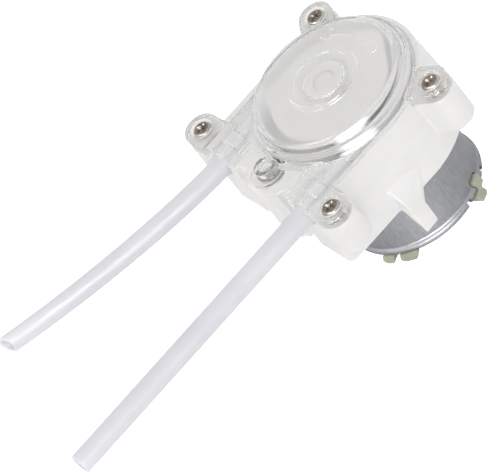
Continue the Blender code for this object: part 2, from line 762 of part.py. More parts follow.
def terminal(name, side):
    """A tinned tag: upright through the end cap, then folded flat behind it."""
    x = side * TERMINAL_X
    tag = box(name, (x - 1.2, -0.25, -20.2), (x + 1.2, 0.25, -15.6), "brass")
    join(tag, box("fold", (x - 1.19, -4.5, -20.19), (x + 1.19, 0.24, -19.75), "brass"))
    return cut(tag, rod("eye", 0.6, -21, -19, segments=12, centre=(x, -3.0)))


def magnet(name, side):
    middle = 90 * side
    start, end = middle - MAGNET_HALF_DEG, middle + MAGNET_HALF_DEG
    outline = arc((0, 0), MAGNET_R[1], start, end, 16) + arc((0, 0), MAGNET_R[0], end, start, 16)
    return prism(name, outline, *MAGNET_Z, "ferrite")


def armature_core():
    """Three T-shaped poles on a hub."""
    bottom, top = CORE_Z
    core = ring("armature_core", SHAFT_R + GAP, CORE_HUB_R, bottom, top, "lamination", 24)
    for step in range(3):
        middle = 30 + 120 * step
        low = (CORE_HUB_R - 0.4, -POLE_HALF, bottom + 0.01)
        arm = box("arm", low, (SHOE_R[0] + 0.6, POLE_HALF, top - 0.01), "lamination")
        arm.data.transform(Matrix.Rotation(math.radians(middle), 4, "Z"))
        outer = arc((0, 0), SHOE_R[1], middle - 50, middle + 50, 12)
        inner = arc((0, 0), SHOE_R[0], middle + 50, middle - 50, 12)
        join(core, arm, prism("shoe", outer + inner, bottom + 0.02, top - 0.02, "lamination"))
    return core


def armature_coil(name, step):
    """Enamelled wire wound round one pole, drawn as its outer shape."""
    bottom, top = CORE_Z
    clear = POLE_HALF + 0.3
    coil = box(name, (4.8, -3.2, bottom - 2.0), (SHOE_R[0] - 0.5, 3.2, top + 2.0), "copper")
    cut(coil, box("window", (4.0, -clear, bottom - 0.3), (SHOE_R[1], clear, top + 0.3)))
    bevel = coil.modifiers.new("rounded", "BEVEL")
    bevel.width = 0.5 * MM
    bevel.segments = 1
    bevel.limit_method = "ANGLE"
    coil.data.transform(Matrix.Rotation(math.radians(30 + 120 * step), 4, "Z"))
    return coil


def commutator():
    bottom, top = COMMUTATOR_Z
    made = ring("commutator", SHAFT_R + GAP, COMMUTATOR_R, bottom, top, "copper", 24)
    for step in range(3):
        slot = box("slot", (COMMUTATOR_R - 0.6, -0.2, bottom + 0.2), (COMMUTATOR_R + 1, 0.2, top + 1))
        slot.data.transform(Matrix.Rotation(math.radians(90 + 120 * step), 4, "Z"))
        cut(made, slot)
    return made


def brush_gear():
    for name, side in (("left", -1), ("right", 1)):
        near, far = sorted((side * 3.1, side * 5.2))
        box(f"brush_{name}", (near, -1.2, -14.6), (far, 1.2, -12.4), "carbon")
        near, far = sorted((side * 5.4, side * 5.8))
        box(f"brush_spring_{name}", (near, -1.6, -17.1), (far, 1.6, -12.2), "bronze")


def motor():
    motor_can()
    motor_end_cap()
    ring("motor_front_bush", SHAFT_R + GAP, 3.0, CAN_FRONT - 0.9, 8.5, "bronze")
    ring("motor_rear_bush", SHAFT_R + GAP, 2.7, -18.9, -16.4, "bronze")
    rod("motor_shaft", SHAFT_R, -18.6, 16.3, "steel", 16)
    magnet("magnet_rear", 1)
    magnet("magnet_front", -1)
    armature_core()
    for step in range(3):
        armature_coil(f"armature_coil_{step + 1}", step)
    commutator()
    ring("shaft_washer", SHAFT_R + GAP, 2.4, 4.6, 5.2, "white_plastic", 24)
    brush_gear()
    terminal("terminal_left", -1)
    terminal("terminal_right", 1)


def build():
    clear_scene()
    pump_body()
    pump_cover()
    pump_tube()
    tube_stop("tube_stop_inlet", -1)
    tube_stop("tube_stop_outlet", 1)
    ring("cover_bush", SPIGOT_R + GAP, BUSH_R, 20.7, 21.8, "roller_plastic")
    rotor_base()
    rotor_top()
    rollers()
    for name, centre in SCREWS.items():
        cross_screw(f"cover_screw_{name}", centre, 2.25, 17.2, 18.4, 1.2, 8.6)
    for name, side in (("left", -1), ("right", 1)):
        cross_screw(f"motor_screw_{name}", (side * MOTOR_SCREW_X, 0.0), 2.2, 8.1, 8.8, 1.2, 4.9)
    motor()
    for obj in bpy.context.scene.objects:
        obj.location.z = ORIGIN_LIFT * MM


build()
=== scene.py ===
"""Peristaltic pump: the looks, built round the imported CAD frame."""

import json
import math

import bmesh
import bpy
from mathutils import Matrix, Vector


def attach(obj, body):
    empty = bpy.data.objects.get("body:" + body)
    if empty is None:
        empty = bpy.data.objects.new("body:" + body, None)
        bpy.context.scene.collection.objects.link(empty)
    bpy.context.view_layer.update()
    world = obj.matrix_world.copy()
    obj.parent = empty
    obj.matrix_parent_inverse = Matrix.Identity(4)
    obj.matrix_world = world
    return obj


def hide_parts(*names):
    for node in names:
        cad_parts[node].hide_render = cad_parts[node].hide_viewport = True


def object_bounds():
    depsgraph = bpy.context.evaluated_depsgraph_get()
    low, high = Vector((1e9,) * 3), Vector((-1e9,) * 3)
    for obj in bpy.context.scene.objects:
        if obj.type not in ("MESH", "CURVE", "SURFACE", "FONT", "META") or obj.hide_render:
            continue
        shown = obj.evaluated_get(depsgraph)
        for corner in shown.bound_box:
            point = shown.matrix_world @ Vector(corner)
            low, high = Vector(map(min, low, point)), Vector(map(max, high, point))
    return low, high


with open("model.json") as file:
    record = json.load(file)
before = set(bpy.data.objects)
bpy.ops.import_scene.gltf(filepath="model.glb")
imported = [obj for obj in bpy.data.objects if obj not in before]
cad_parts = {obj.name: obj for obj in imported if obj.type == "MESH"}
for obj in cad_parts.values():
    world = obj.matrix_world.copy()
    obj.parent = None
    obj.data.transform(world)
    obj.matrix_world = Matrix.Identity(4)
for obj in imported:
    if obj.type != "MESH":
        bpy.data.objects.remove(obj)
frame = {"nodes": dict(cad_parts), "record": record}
CAD_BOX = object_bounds()

MM = 0.001
LIFT = 20.9  # from the frame's origin up to the housing's rear face, where heights are counted from

# Camera: angles in degrees, distance and target in millimetres
CAM_AZIMUTH = 78.167
CAM_ELEVATION = 40.726
CAM_ROLL = 40.192
CAM_DISTANCE = 1186.8
CAM_LENS = 409.38
CAM_SENSOR = 36.0
CAM_TARGET = (-2.0228, -34.8349, 28.3685)

# Sizes below are in millimetres and angles in degrees, as in the CAD source
PAST = 1.0  # how far a cutter runs out of the surface that it cuts
OFF = 0.01  # keeps two faces from lying exactly on each other
APART = 0.1  # sets the ends of two cutters apart, where both are out in the air
THROUGH = (0.0, 30.0)  # heights below and above everything that the cover's bores cut
LARGE, BROAD, SMALL = 192, 160, 48  # steps round turned shapes by size; the hose has SMALL too

# Housing
FOOT_R, FOOT_X = 21.8, 21.2  # its outline at the rear face
RIM_R, RIM_X = 20.9, 20.6  # its outline at the rim; the walls lean in a little
RIM_INNER = 19.3
RIM_TOP = 17.3
BODY_TOP = 15.5
FLOOR_TOP = 9.0
FLOOR_BOTTOM = 7.0
FRONT_Y = -25.5  # the face that the hose leaves through
FRONT_GROOVES = (5.8, 9.9)  # the two upright hollows in that face
GROOVE_Y = -23.9  # how far back they reach
NOSE = ((-5.5, -22.0), (-5.5, -25.0), (-4.0, -26.5))  # half the outline of the lug between them
NOSE_FRONT_Y, NOSE_TOP = -26.5, 16.0
NOSE_ROOM_X, NOSE_ROOM_Y = 10.0, -10.0  # half the width of the cut over the lug, and its rear end
FRONT_COLUMN_R, FRONT_COLUMN_Z = 4.2, (6.8, 16.8)
REAR_COLUMN_R, REAR_COLUMN_Z = 4.3, (5.6, 16.7)
FRONT_SCREW = (23.9, -22.0)
REAR_SCREW = (20.9, 12.6)
SCREWS = {
    "front_left": (-FRONT_SCREW[0], FRONT_SCREW[1]),
    "front_right": FRONT_SCREW,
    "rear_left": (-REAR_SCREW[0], REAR_SCREW[1]),
    "rear_right": REAR_SCREW,
}
TRACK_R = 18.0
CUP_R = 16.4  # the hollow that the motor stands in
BOSS_HOLE_R = 5.2
BULGE_Y, BULGE_BOTTOM = -12.0, 10.6  # the hose's channel is deeper from here to the axis
BODY_VOXEL = 0.2
BODY_PASSES = 8

# Cover
FLANGE_BOTTOM = 15.7
FLANGE_TOP = 18.0
PLUG_INNER, PLUG_R = 18.45, 19.1
LIP_INNER, LIP_R, LIP_BOTTOM = 18.65, 20.9, 17.5
BORE_R = 18.55  # where the arms and the post's tab end at the dome
ARM_X, ARM_Y = (10.0, 19.1), (-25.2, -3.0)
ARM_LIP_X, ARM_LIP_Y = (17.0, 20.6), (-25.2, -3.5)
EAR_R, EAR_ROOM_R, EAR_TOP = 4.1, 4.5, 18.5
EAR_BORE_R = 18.62
EAR_FACING = 31  # the rear ears' direction, in degrees from +X
RIDGE_X, RIDGE_Y, RIDGE_Z = (12.4, 16.6), (-24.6, -17.0), (16.7, 18.6)
RELIEF_Y, RELIEF_Z = (-11.0, 1.0), (14.7, 17.7)  # room for the hose where rollers press it tall
TAB_R, TAB_XY, TAB_TOP = 4.1, (0.0, -22.2), 16.9
POST_XY = (0.0, -21.7)
POST_R, POST_BORE_R = 2.8, 1.7
POST_BOTTOM, POST_FLOOR, POST_TOP = 10.6, 12.0, 18.5
DOME_TOP = 22.3
BOSS_TOP = 23.6
ARROW_R = 12.6
ARROW_DEGS = (60.0, 130.0)
ARROW_TIP = 12.0  # how far its tip runs on past the shaft, in degrees
ARROW_HEIGHT = 0.5
ARROW_HALF, ARROW_HEAD = 0.65, 1.7  # half the width of its shaft and of its head
COVER_VOXEL = 0.13
COVER_PASSES = 7

# Hose
TUBE_R = 2.5
TUBE_WALL = 1.0
TUBE_X = 15.3
TUBE_Z = 14.2
CHANNEL_R = 2.7
STOP_R, STOP_Y = 3.4, (-21.8, -18.4)  # the slots that its collars sit in
INLET_LENGTH = 59.0
OUTLET_END = -96.7
FREE_STEPS, STRAIGHT_STEPS, BEND_STEPS = 40, 50, 180
INLET_SLOPE, INLET_START, INLET_CURVE = 0.0943, 6.0, 0.00222  # of the bend in its loose inlet end
PRESSED = 1.65  # its thickness under a roller
PRESSED_BORE = 0.16  # what is left of its bore there
PRESSED_RISE = 3.0  # how much taller it would be if pressed quite flat
ROLLER_GAP = 0.1

# Screws
SCREW_TURN = 20.0
SCREW_HOLE_R = 1.5
HEAD_ROOM_R, HEAD_SEAT = 2.6, 17.0
COVER_SCREW = {"head_r": 2.25, "bottom": 17.2, "top": 18.4, "root": 1.05, "crest": 1.42, "tip": 9.0}
MOTOR_SCREW = {"head_r": 2.1, "bottom": 8.1, "top": 8.85, "root": 0.9, "crest": 1.2, "tip": 4.4}
MOTOR_SCREW_X = 8.0
MOTOR_HEAD_ROOM_R, MOTOR_HEAD_SEAT = 2.5, 7.9
THREAD_PITCH = 0.9

# Motor
CAN_R, CAN_LIP_R, CAN_INNER = 16.2, 16.95, 15.2
CAN_BACK, CAN_FRONT, CAN_WALL = -18.7, 6.8, 1.0
MOTOR_BOSS_R, MOTOR_BOSS_TOP, MOTOR_BORE_R = 5.0, 8.6, 3.2
NOTCH_X = (13.2, 18.0)
TALL_LUG_DEGS = (29.0, 209.0)
LUG_BAR_TURN, LUG_LOBE_TURN = 3.0, -4.0  # where a tall lug's two halves sit, in degrees from its middle
LUG_BAR_NOTCH = (1.65, 3.0)  # half the width, height
LUG_LOBE_NOTCH = (1.85, 0.7)
SHORT_LUGS = ((-46.0, 2.2), (-63.0, 1.5), (134.0, 2.2), (117.0, 1.5))  # degrees, half the width
SHORT_LUG_GAP, SHORT_LUG_NOTCH = 0.25, 0.6
RIM_NOTCH_DEGS = (14.5, 45.5, 194.5, 225.5)
RIM_NOTCH = (0.6, 1.3)
LUG_ROOT, LUG_BOTTOM = 13.5, -20.75
LUG_BAR = ((-15.9, 1.2, 17.0), (-16.5, 1.4, 17.2), (-18.6, 1.4, 17.5))  # height, half the width, reach
LUG_LOBE = ((-18.25, 1.5, 17.5), (-19.3, 1.6, 18.4), (-20.2, 1.1, 18.3), (LUG_BOTTOM, 0.5, 17.5))
SHORT_LUG = ((-18.35, 1.0, 17.2), (-19.2, 1.0, 18.1), (-20.1, 0.65, 18.0), (LUG_BOTTOM, 0.3, 17.4))
CAP_BOTTOM = -LIFT
TERMINAL_X = 9.0
TERMINAL_SLOT = (1.5, 0.6)  # half its width and half its depth
CAP_PASSES, CAP_FACES = 6, 120000

# Rotor
ROLLER_R = 4.0
ROLLER_Z = (10.8, 17.6)
ROLLER_BORE_R = 2.2
ROLLER_ORBIT_R = 12.0
ROLLER_DEGS = (92.0, 212.0, 332.0)
PIN_HOLE_R = 1.2
CARRIER = (11.0, 3.6, 9.2, 80, 18)  # the lobes' orbit and radius, the waist's radius, what each spans
CARRIER_Z = (9.3, 10.5)
HUB_R, HUB_TOP = 4.5, 17.5
HUB_BORE_R, HUB_BORE_TOP = 1.2, 16.6
TOP_PLATE = (11.6, 4.6, 14.0, 55, 30)
TOP_PLATE_Z = (17.9, 19.3)
SPIGOT_R, SPIGOT_TOP = 2.4, 21.7
ROTOR_FACES = 60000

# Looks
COVER_MATT = 0.3  # roughness of the cover's underside
COVER_TINT = (0.985, 0.985, 0.98)
COVER_VEIL = 0.5  # share of white scatter on the underside
VEIL_WHITE = (0.86, 0.855, 0.845)
FROSTED_FROM, FROSTED_FULL = -0.2, -0.7  # the upward part of a surface's direction
WORLD_SOFT = 0.95  # what matt surfaces see, the same all round
WORLD_BASE = 0.95  # what glossy and clear ones see between the patches
WORLD_PATCHES = (  # direction, angle where it is full, angle where it has faded, strength
    ((-0.742, 0.155, 0.652), 14.0, 34.0, -0.7),
    ((0.84, -0.4, 0.3), 14.0, 27.0, 12.0),
    ((0.0, -0.56, 0.82), 8.0, 18.0, 6.0),
)
LAMPS = (  # name, place in metres, size in metres, watts
    ("key", (0.75, -0.5, 0.5), 0.4, 0.7),
    ("back", (-0.3, 0.5, 0.8), 0.5, 0.05),
)
FLOOR_SIZE, FLOOR_DROP = 6.0, 0.0002  # in metres


def link(obj):
    """Puts an object in the scene."""
    bpy.context.scene.collection.objects.link(obj)
    return obj


# ---------------------------------------------------------------- materials


def principled(name, colour, roughness, metallic=0.0, **extra):
    """A Principled material and the tools to add to it."""
    material = bpy.data.materials.new(name)
    material.use_nodes = True
    nodes, links = material.node_tree.nodes, material.node_tree.links
    shader = nodes["Principled BSDF"]
    shader.inputs["Base Color"].default_value = (*colour, 1.0)
    shader.inputs["Roughness"].default_value = roughness
    shader.inputs["Metallic"].default_value = metallic
    for key, value in extra.items():
        shader.inputs[key.replace("_", " ")].default_value = value
    return material, nodes, links, shader


def noise(nodes, links, scale, stretch=(1, 1, 1), detail=4.0):
    """Noise in object space, stretched along an axis, as a value output."""
    where = nodes.new("ShaderNodeTexCoord")
    mapping = nodes.new("ShaderNodeMapping")
    mapping.inputs["Scale"].default_value = stretch
    texture = nodes.new("ShaderNodeTexNoise")
    texture.inputs["Scale"].default_value = scale
    texture.inputs["Detail"].default_value = detail
    links.new(where.outputs["Object"], mapping.inputs["Vector"])
    links.new(mapping.outputs["Vector"], texture.inputs["Vector"])
    return texture.outputs["Fac"]


def ramp(nodes, links, value, low, high):
    """Noise turned into low..high; it seldom leaves 0.3..0.7 by itself."""
    made = nodes.new("ShaderNodeMapRange")
    made.inputs["From Min"].default_value = 0.3
    made.inputs["From Max"].default_value = 0.7
    made.inputs["To Min"].default_value = low
    made.inputs["To Max"].default_value = high
    links.new(value, made.inputs["Value"])
    return made.outputs["Result"]


def vary_colour(nodes, links, shader, value, dark, light):
    """A base colour that wanders between two with a value."""
    mix = nodes.new("ShaderNodeMix")
    mix.data_type = "RGBA"
    mix.inputs["A"].default_value = (*dark, 1.0)
    mix.inputs["B"].default_value = (*light, 1.0)
    links.new(ramp(nodes, links, value, 0.0, 1.0), mix.inputs["Factor"])
    links.new(mix.outputs["Result"], shader.inputs["Base Color"])


def add_bump(nodes, links, shader, value, strength, distance):
    """Fine relief in the shading, from a value, at most distance metres deep."""
    bump = nodes.new("ShaderNodeBump")
    bump.inputs["Strength"].default_value = strength
    bump.inputs["Distance"].default_value = distance
    links.new(value, bump.inputs["Height"])
    links.new(bump.outputs["Normal"], shader.inputs["Normal"])


def surfaced(name, dark, light, rough, metallic, scale, stretch=(1, 1, 1), bump=(0.1, 0.00005), **extra):
    """Colour, roughness and bump that vary together with stretched noise."""
    material, nodes, links, shader = principled(name, light, rough[0], metallic, **extra)
    coarse = noise(nodes, links, scale, stretch)
    fine = noise(nodes, links, scale * 4.0, stretch, 6.0)
    vary_colour(nodes, links, shader, coarse, dark, light)
    links.new(ramp(nodes, links, fine, rough[0], rough[1]), shader.inputs["Roughness"])
    add_bump(nodes, links, shader, fine, *bump)
    return material


def frosted_share(nodes, links):
    """1 on surfaces that face down, which the mould left matt, and 0 on the polished outside."""
    geometry = nodes.new("ShaderNodeNewGeometry")
    flip = nodes.new("ShaderNodeMath")
    flip.operation = "MULTIPLY_ADD"
    flip.inputs[1].default_value = -2.0
    flip.inputs[2].default_value = 1.0
    links.new(geometry.outputs["Backfacing"], flip.inputs[0])
    outward = nodes.new("ShaderNodeVectorMath")
    outward.operation = "SCALE"
    links.new(geometry.outputs["Normal"], outward.inputs[0])
    links.new(flip.outputs["Value"], outward.inputs["Scale"])
    split = nodes.new("ShaderNodeSeparateXYZ")
    links.new(outward.outputs["Vector"], split.inputs["Vector"])
    share = nodes.new("ShaderNodeMapRange")
    share.interpolation_type = "SMOOTHSTEP"
    share.inputs["From Min"].default_value = FROSTED_FROM
    share.inputs["From Max"].default_value = FROSTED_FULL
    links.new(split.outputs["Z"], share.inputs["Value"])
    return share.outputs["Result"]


def mixed(nodes, links, share, first, second):
    """Two shader outputs mixed: all first where share is 0, all second where it is 1."""
    mix = nodes.new("ShaderNodeMixShader")
    links.new(share, mix.inputs["Fac"])
    links.new(first, mix.inputs[1])
    links.new(second, mix.inputs[2])
    return mix.outputs["Shader"]


def milky_veil(nodes, links, frosted, clear):
    """A clear shader with a share of white scatter on its frosted surfaces."""
    veil = nodes.new("ShaderNodeMath")
    veil.operation = "MULTIPLY"
    veil.inputs[1].default_value = COVER_VEIL
    links.new(frosted, veil.inputs[0])
    scatter = nodes.new("ShaderNodeBsdfDiffuse")
    scatter.inputs["Color"].default_value = (*VEIL_WHITE, 1.0)
    return mixed(nodes, links, veil.outputs["Value"], clear, scatter.outputs["BSDF"])


def open_to_light(nodes, links, seen):
    """A shader that shadow rays and diffuse rays pass through with only a tint."""
    path = nodes.new("ShaderNodeLightPath")
    either = nodes.new("ShaderNodeMath")
    either.operation = "MAXIMUM"
    links.new(path.outputs["Is Shadow Ray"], either.inputs[0])
    links.new(path.outputs["Is Diffuse Ray"], either.inputs[1])
    through = nodes.new("ShaderNodeBsdfTransparent")
    through.inputs["Color"].default_value = (*COVER_TINT, 1.0)
    return mixed(nodes, links, either.outputs["Value"], seen, through.outputs["BSDF"])


def clear_plastic():
    """Clear acrylic, polished outside and matt beneath, that lets light through to what it covers."""
    material, nodes, links, shader = principled("clear_plastic", (0.975, 0.975, 0.98), 0.03)
    shader.inputs["Transmission Weight"].default_value = 1.0
    shader.inputs["IOR"].default_value = 1.49
    frosted = frosted_share(nodes, links)
    rough = nodes.new("ShaderNodeMix")
    rough.inputs["B"].default_value = COVER_MATT
    links.new(frosted, rough.inputs["Factor"])
    links.new(ramp(nodes, links, noise(nodes, links, 90.0), 0.015, 0.05), rough.inputs["A"])
    links.new(rough.outputs["Result"], shader.inputs["Roughness"])
    add_bump(nodes, links, shader, noise(nodes, links, 60.0), 0.04, 0.0003)
    milky = milky_veil(nodes, links, frosted, shader.outputs["BSDF"])
    look = open_to_light(nodes, links, milky)
    links.new(look, nodes["Material Output"].inputs["Surface"])
    return material


def silicone():
    """Translucent silicone rubber, drawn with fine lines along its length."""
    material, nodes, links, shader = principled("silicone", (0.72, 0.72, 0.76), 0.42)
    shader.inputs["Subsurface Weight"].default_value = 0.7
    shader.inputs["Subsurface Radius"].default_value = (1.0, 1.0, 1.1)
    shader.inputs["Subsurface Scale"].default_value = 0.0015
    fine = noise(nodes, links, 700.0, (1, 0.08, 1))
    vary_colour(nodes, links, shader, noise(nodes, links, 60.0), (0.69, 0.69, 0.735), (0.745, 0.745, 0.78))
    links.new(ramp(nodes, links, fine, 0.36, 0.5), shader.inputs["Roughness"])
    add_bump(nodes, links, shader, fine, 0.08, 0.00003)
    return material


def make_materials():
    """Every material by its slot name: its two colours, roughness, metallic, noise scale and stretch."""
    soft = dict(Subsurface_Weight=0.25, Subsurface_Scale=0.0006)
    return {
        "clear_plastic": clear_plastic(),
        "silicone": silicone(),
        "white_plastic": surfaced(
            "white_plastic", (0.80, 0.79, 0.78), (0.845, 0.835, 0.825), (0.3, 0.42), 0.0, 120.0, **soft
        ),
        "roller_plastic": surfaced(
            "roller_plastic", (0.74, 0.72, 0.70), (0.79, 0.77, 0.75), (0.25, 0.35), 0.0, 120.0, **soft
        ),
        "ivory_plastic": surfaced(
            "ivory_plastic", (0.38, 0.38, 0.29), (0.46, 0.46, 0.37), (0.4, 0.55), 0.0, 160.0, **soft
        ),
        "nickel": surfaced("nickel", (0.43, 0.385, 0.34), (0.60, 0.55, 0.49), (0.24, 0.36), 1.0, 300.0),
        "zinc_steel": surfaced(
            "zinc_steel", (0.285, 0.29, 0.305), (0.35, 0.355, 0.372), (0.38, 0.52), 1.0, 1500.0, (1, 1, 0.3)
        ),
        "steel": surfaced(
            "steel", (0.5, 0.5, 0.51), (0.62, 0.62, 0.63), (0.2, 0.32), 1.0, 400.0, (1, 1, 0.1)
        ),
        "bronze": surfaced("bronze", (0.40, 0.28, 0.15), (0.56, 0.41, 0.23), (0.4, 0.55), 1.0, 500.0),
        "copper": surfaced(
            "copper", (0.60, 0.27, 0.12), (0.75, 0.38, 0.2), (0.3, 0.42), 1.0, 500.0, (1, 1, 8)
        ),
        "brass": surfaced("brass", (0.62, 0.60, 0.54), (0.74, 0.72, 0.66), (0.25, 0.4), 1.0, 400.0),
        "ferrite": surfaced("ferrite", (0.06, 0.06, 0.065), (0.1, 0.1, 0.11), (0.6, 0.75), 0.0, 500.0),
        "carbon": surfaced("carbon", (0.03, 0.03, 0.03), (0.07, 0.07, 0.07), (0.5, 0.65), 0.0, 600.0),
        "lamination": surfaced(
            "lamination", (0.26, 0.27, 0.28), (0.38, 0.39, 0.4), (0.4, 0.55), 1.0, 300.0, (1, 1, 12)
        ),
    }


MATERIALS = make_materials()


def dress_cad_nodes():
    """Gives each carried-over CAD node the material of its slot in the record."""
    slots = {entry["node"]: entry["material_slot"] for entry in frame["record"]["subparts"]}
    for name, node in frame["nodes"].items():
        node.data.materials.clear()
        node.data.materials.append(MATERIALS[slots[name]])
        node.data.shade_smooth()
        node.data.set_sharp_from_angle(angle=math.radians(35))


# ---------------------------------------------------------------- shape tools


def bake(obj):
    """Turns the object's modifiers into its mesh."""
    graph = bpy.context.evaluated_depsgraph_get()
    mesh = bpy.data.meshes.new_from_object(obj.evaluated_get(graph))
    obj.modifiers.clear()
    obj.data = mesh
    return obj


def to_object(name, bm):
    """A named object in metres from a closed bmesh in millimetres."""
    bmesh.ops.recalc_face_normals(bm, faces=bm.faces)
    bmesh.ops.scale(bm, vec=(MM, MM, MM), verts=bm.verts)
    mesh = bpy.data.meshes.new(name)
    bm.to_mesh(mesh)
    bm.free()
    return link(bpy.data.objects.new(name, mesh))


def arc(centre, radius, start, end, steps):
    """Points along an arc, its angles in degrees."""
    angles = [math.radians(start + (end - start) * i / steps) for i in range(steps + 1)]
    return [(centre[0] + radius * math.cos(a), centre[1] + radius * math.sin(a)) for a in angles]


def polar(radius, degrees):
    """The point at that distance and angle from the rotor's axis."""
    return radius * math.cos(math.radians(degrees)), radius * math.sin(math.radians(degrees))


def rounded(points, steps=5):
    """A closed outline whose points (x, y, r) get a round corner of about that radius."""
    out = []
    count = len(points)
    for i, point in enumerate(points):
        radius = point[2] if len(point) > 2 else 0.0
        here = Vector(point[:2])
        before = Vector(points[i - 1][:2]) - here
        after = Vector(points[(i + 1) % count][:2]) - here
        if radius <= 0 or before.length < 1e-6 or after.length < 1e-6:
            out.append(tuple(here))
            continue
        bend = before.angle(after)
        reach = min(radius / math.tan(bend / 2), 0.48 * before.length, 0.48 * after.length)
        start = here + before.normalized() * reach
        end = here + after.normalized() * reach
        for step in range(steps + 1):
            t = step / steps
            out.append(tuple(start * (1 - t) ** 2 + here * 2 * t * (1 - t) + end * t**2))
    return out


def lathe(name, profile, segments=128, centre=(0.0, 0.0)):
    """A solid turned about an upright axis at centre, from a closed outline of (radius, height)."""
    bm = bmesh.new()
    verts = [bm.verts.new((p[0], 0.0, p[1])) for p in rounded(profile)]
    pairs = zip(verts, verts[1:] + verts[:1])
    edges = [bm.edges.new(pair) for pair in pairs if pair[0].co.x + pair[1].co.x > 0]
    bmesh.ops.spin(
        bm,
        geom=verts + edges,
        axis=(0, 0, 1),
        cent=(0, 0, 0),
        angle=2 * math.pi,
        steps=segments,
        use_merge=True,
    )
    bmesh.ops.remove_doubles(bm, verts=bm.verts, dist=0.0001)
    bmesh.ops.translate(bm, vec=(*centre, 0.0), verts=bm.verts)
    return to_object(name, bm)


def rod(name, radius, bottom, top, segments=96, centre=(0.0, 0.0)):
    """An upright cylinder, used to cut holes and to build up turned shapes."""
    return lathe(name, [(0, bottom), (radius, bottom), (radius, top), (0, top)], segments, centre)


def slab(name, lower, bottom, top, upper=None):
    """A solid between two outlines with the same number of points, one at each height."""
    bm = bmesh.new()
    low = [bm.verts.new((x, y, bottom)) for x, y in lower]
    high = [bm.verts.new((x, y, top)) for x, y in upper or lower]
    bm.faces.new(low)
    bm.faces.new(high)
    for i in range(len(low)):
        j = (i + 1) % len(low)
        bm.faces.new((low[i], low[j], high[j], high[i]))
    return to_object(name, bm)


def block(name, low, high):
    """A box between two opposite corners."""
    corners = [(low[0], low[1]), (high[0], low[1]), (high[0], high[1]), (low[0], high[1])]
    return slab(name, corners, low[2], high[2])


def side_block(name, side, across, along, heights):
    """A box on one side of the pump, from its ranges in x, y and height."""
    low_x, high_x = sorted((side * across[0], side * across[1]))
    return block(name, (low_x, along[0], heights[0]), (high_x, along[1], heights[1]))


def lying_rod(name, radius, x, z, y_from, y_to):
    """A cylinder along Y at that x and height."""
    made = rod(name, radius, y_from, y_to)
    lay = Matrix.Rotation(-math.pi / 2, 4, "X")
    made.data.transform(Matrix.Translation((x * MM, 0, z * MM)) @ lay)
    return made


def swung(obj, degrees):
    """Turns a piece's mesh about the rotor's axis."""
    obj.data.transform(Matrix.Rotation(math.radians(degrees), 4, "Z"))
    return obj


def combine(target, tools, operation):
    """Runs one Boolean for each tool and welds the points that it leaves on top of each other."""
    for tool in tools:
        modifier = target.modifiers.new(operation, "BOOLEAN")
        modifier.operation = operation
        modifier.solver = "EXACT"
        modifier.object = tool
        bake(target)
        bm = bmesh.new()
        bm.from_mesh(target.data)
        bmesh.ops.remove_doubles(bm, verts=bm.verts, dist=1e-6)
        bmesh.ops.dissolve_degenerate(bm, edges=bm.edges, dist=1e-6)
        bm.to_mesh(target.data)
        bm.free()
        bpy.data.objects.remove(tool)
    return target


def join(target, *tools):
    """Adds the tools to the target."""
    return combine(target, tools, "UNION")


def cut(target, *tools):
    """Takes the tools out of the target."""
    return combine(target, tools, "DIFFERENCE")


def bevel(obj, width, segments, angle):
    """Rounds the edges that turn by more than angle."""
    made = obj.modifiers.new("bevel", "BEVEL")
    made.width = width * MM
    made.segments = segments
    made.limit_method = "ANGLE"
    made.angle_limit = math.radians(angle)
    return bake(obj)


def soften(obj, voxel, passes, most_faces=190000):
    """Gives a moulded solid soft edges and blended corners: fine voxels, smoothed, then thinned."""
    remesh = obj.modifiers.new("voxels", "REMESH")
    remesh.mode = "VOXEL"
    remesh.voxel_size = voxel * MM
    smooth = obj.modifiers.new("soften", "SMOOTH")
    smooth.factor = 0.5
    smooth.iterations = passes
    bake(obj)
    triangles = 2 * len(obj.data.polygons)
    if triangles > most_faces:
        thin = obj.modifiers.new("thin", "DECIMATE")
        thin.ratio = most_faces / triangles
        bake(obj)
    obj.data.shade_smooth()
    return obj


def show(obj, node, material, body="housing", sharp=None):
    """Puts a finished piece in the place of a CAD node."""
    obj.data.materials.clear()
    obj.data.materials.append(MATERIALS[material])
    obj.data.shade_smooth()
    if sharp:
        obj.data.set_sharp_from_angle(angle=math.radians(sharp))
    obj.data.transform(Matrix.Translation((0, 0, LIFT * MM)))
    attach(obj, body)
    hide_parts(node)
    return obj


# ---------------------------------------------------------------- housing


def horseshoe(radius, half_width, front_y, corner=1.5):
    """The housing's outline: round behind, with straight sides forward to its front."""
    meet = math.degrees(math.acos(half_width / radius))
    left = arc((corner - half_width, front_y + corner), corner, 180, 270, 8)
    right = arc((half_width - corner, front_y + corner), corner, 270, 360, 8)
    return [*arc((0, 0), radius, -meet, 180 + meet, 120), *left, *right]


def front_column(side, radius):
    """The plan of a front screw column, with its root inside the wall."""
    x, y = FRONT_SCREW
    root = x - 6.0
    outline = [*arc((x, y), radius, -110, 110, SMALL), (root, y + radius - 0.5), (root, y - radius + 1.5)]
    return [(side * px, py) for px, py in outline]


def rear_column(side, radius):
    """The plan of a rear screw column, with its root inside the wall."""
    outline = [*arc(REAR_SCREW, radius, -75, 130, SMALL), (12.5, 14.5), (17.0, 5.5)]
    return [(side * px, py) for px, py in outline]


def ear_plan(side, rear, radius):
    """The plan of a cover ear: a half round about its screw, drawn back towards the axis."""
    centre, facing = (REAR_SCREW, EAR_FACING) if rear else (FRONT_SCREW, 0)
    outer = arc(centre, radius, facing - 90, facing + 90, 40)
    inward = Vector(polar(5.0, facing + 180))
    roots = [(px + inward.x, py + inward.y) for px, py in (outer[-1], outer[0])]
    return [(side * px, py) for px, py in outer + roots]


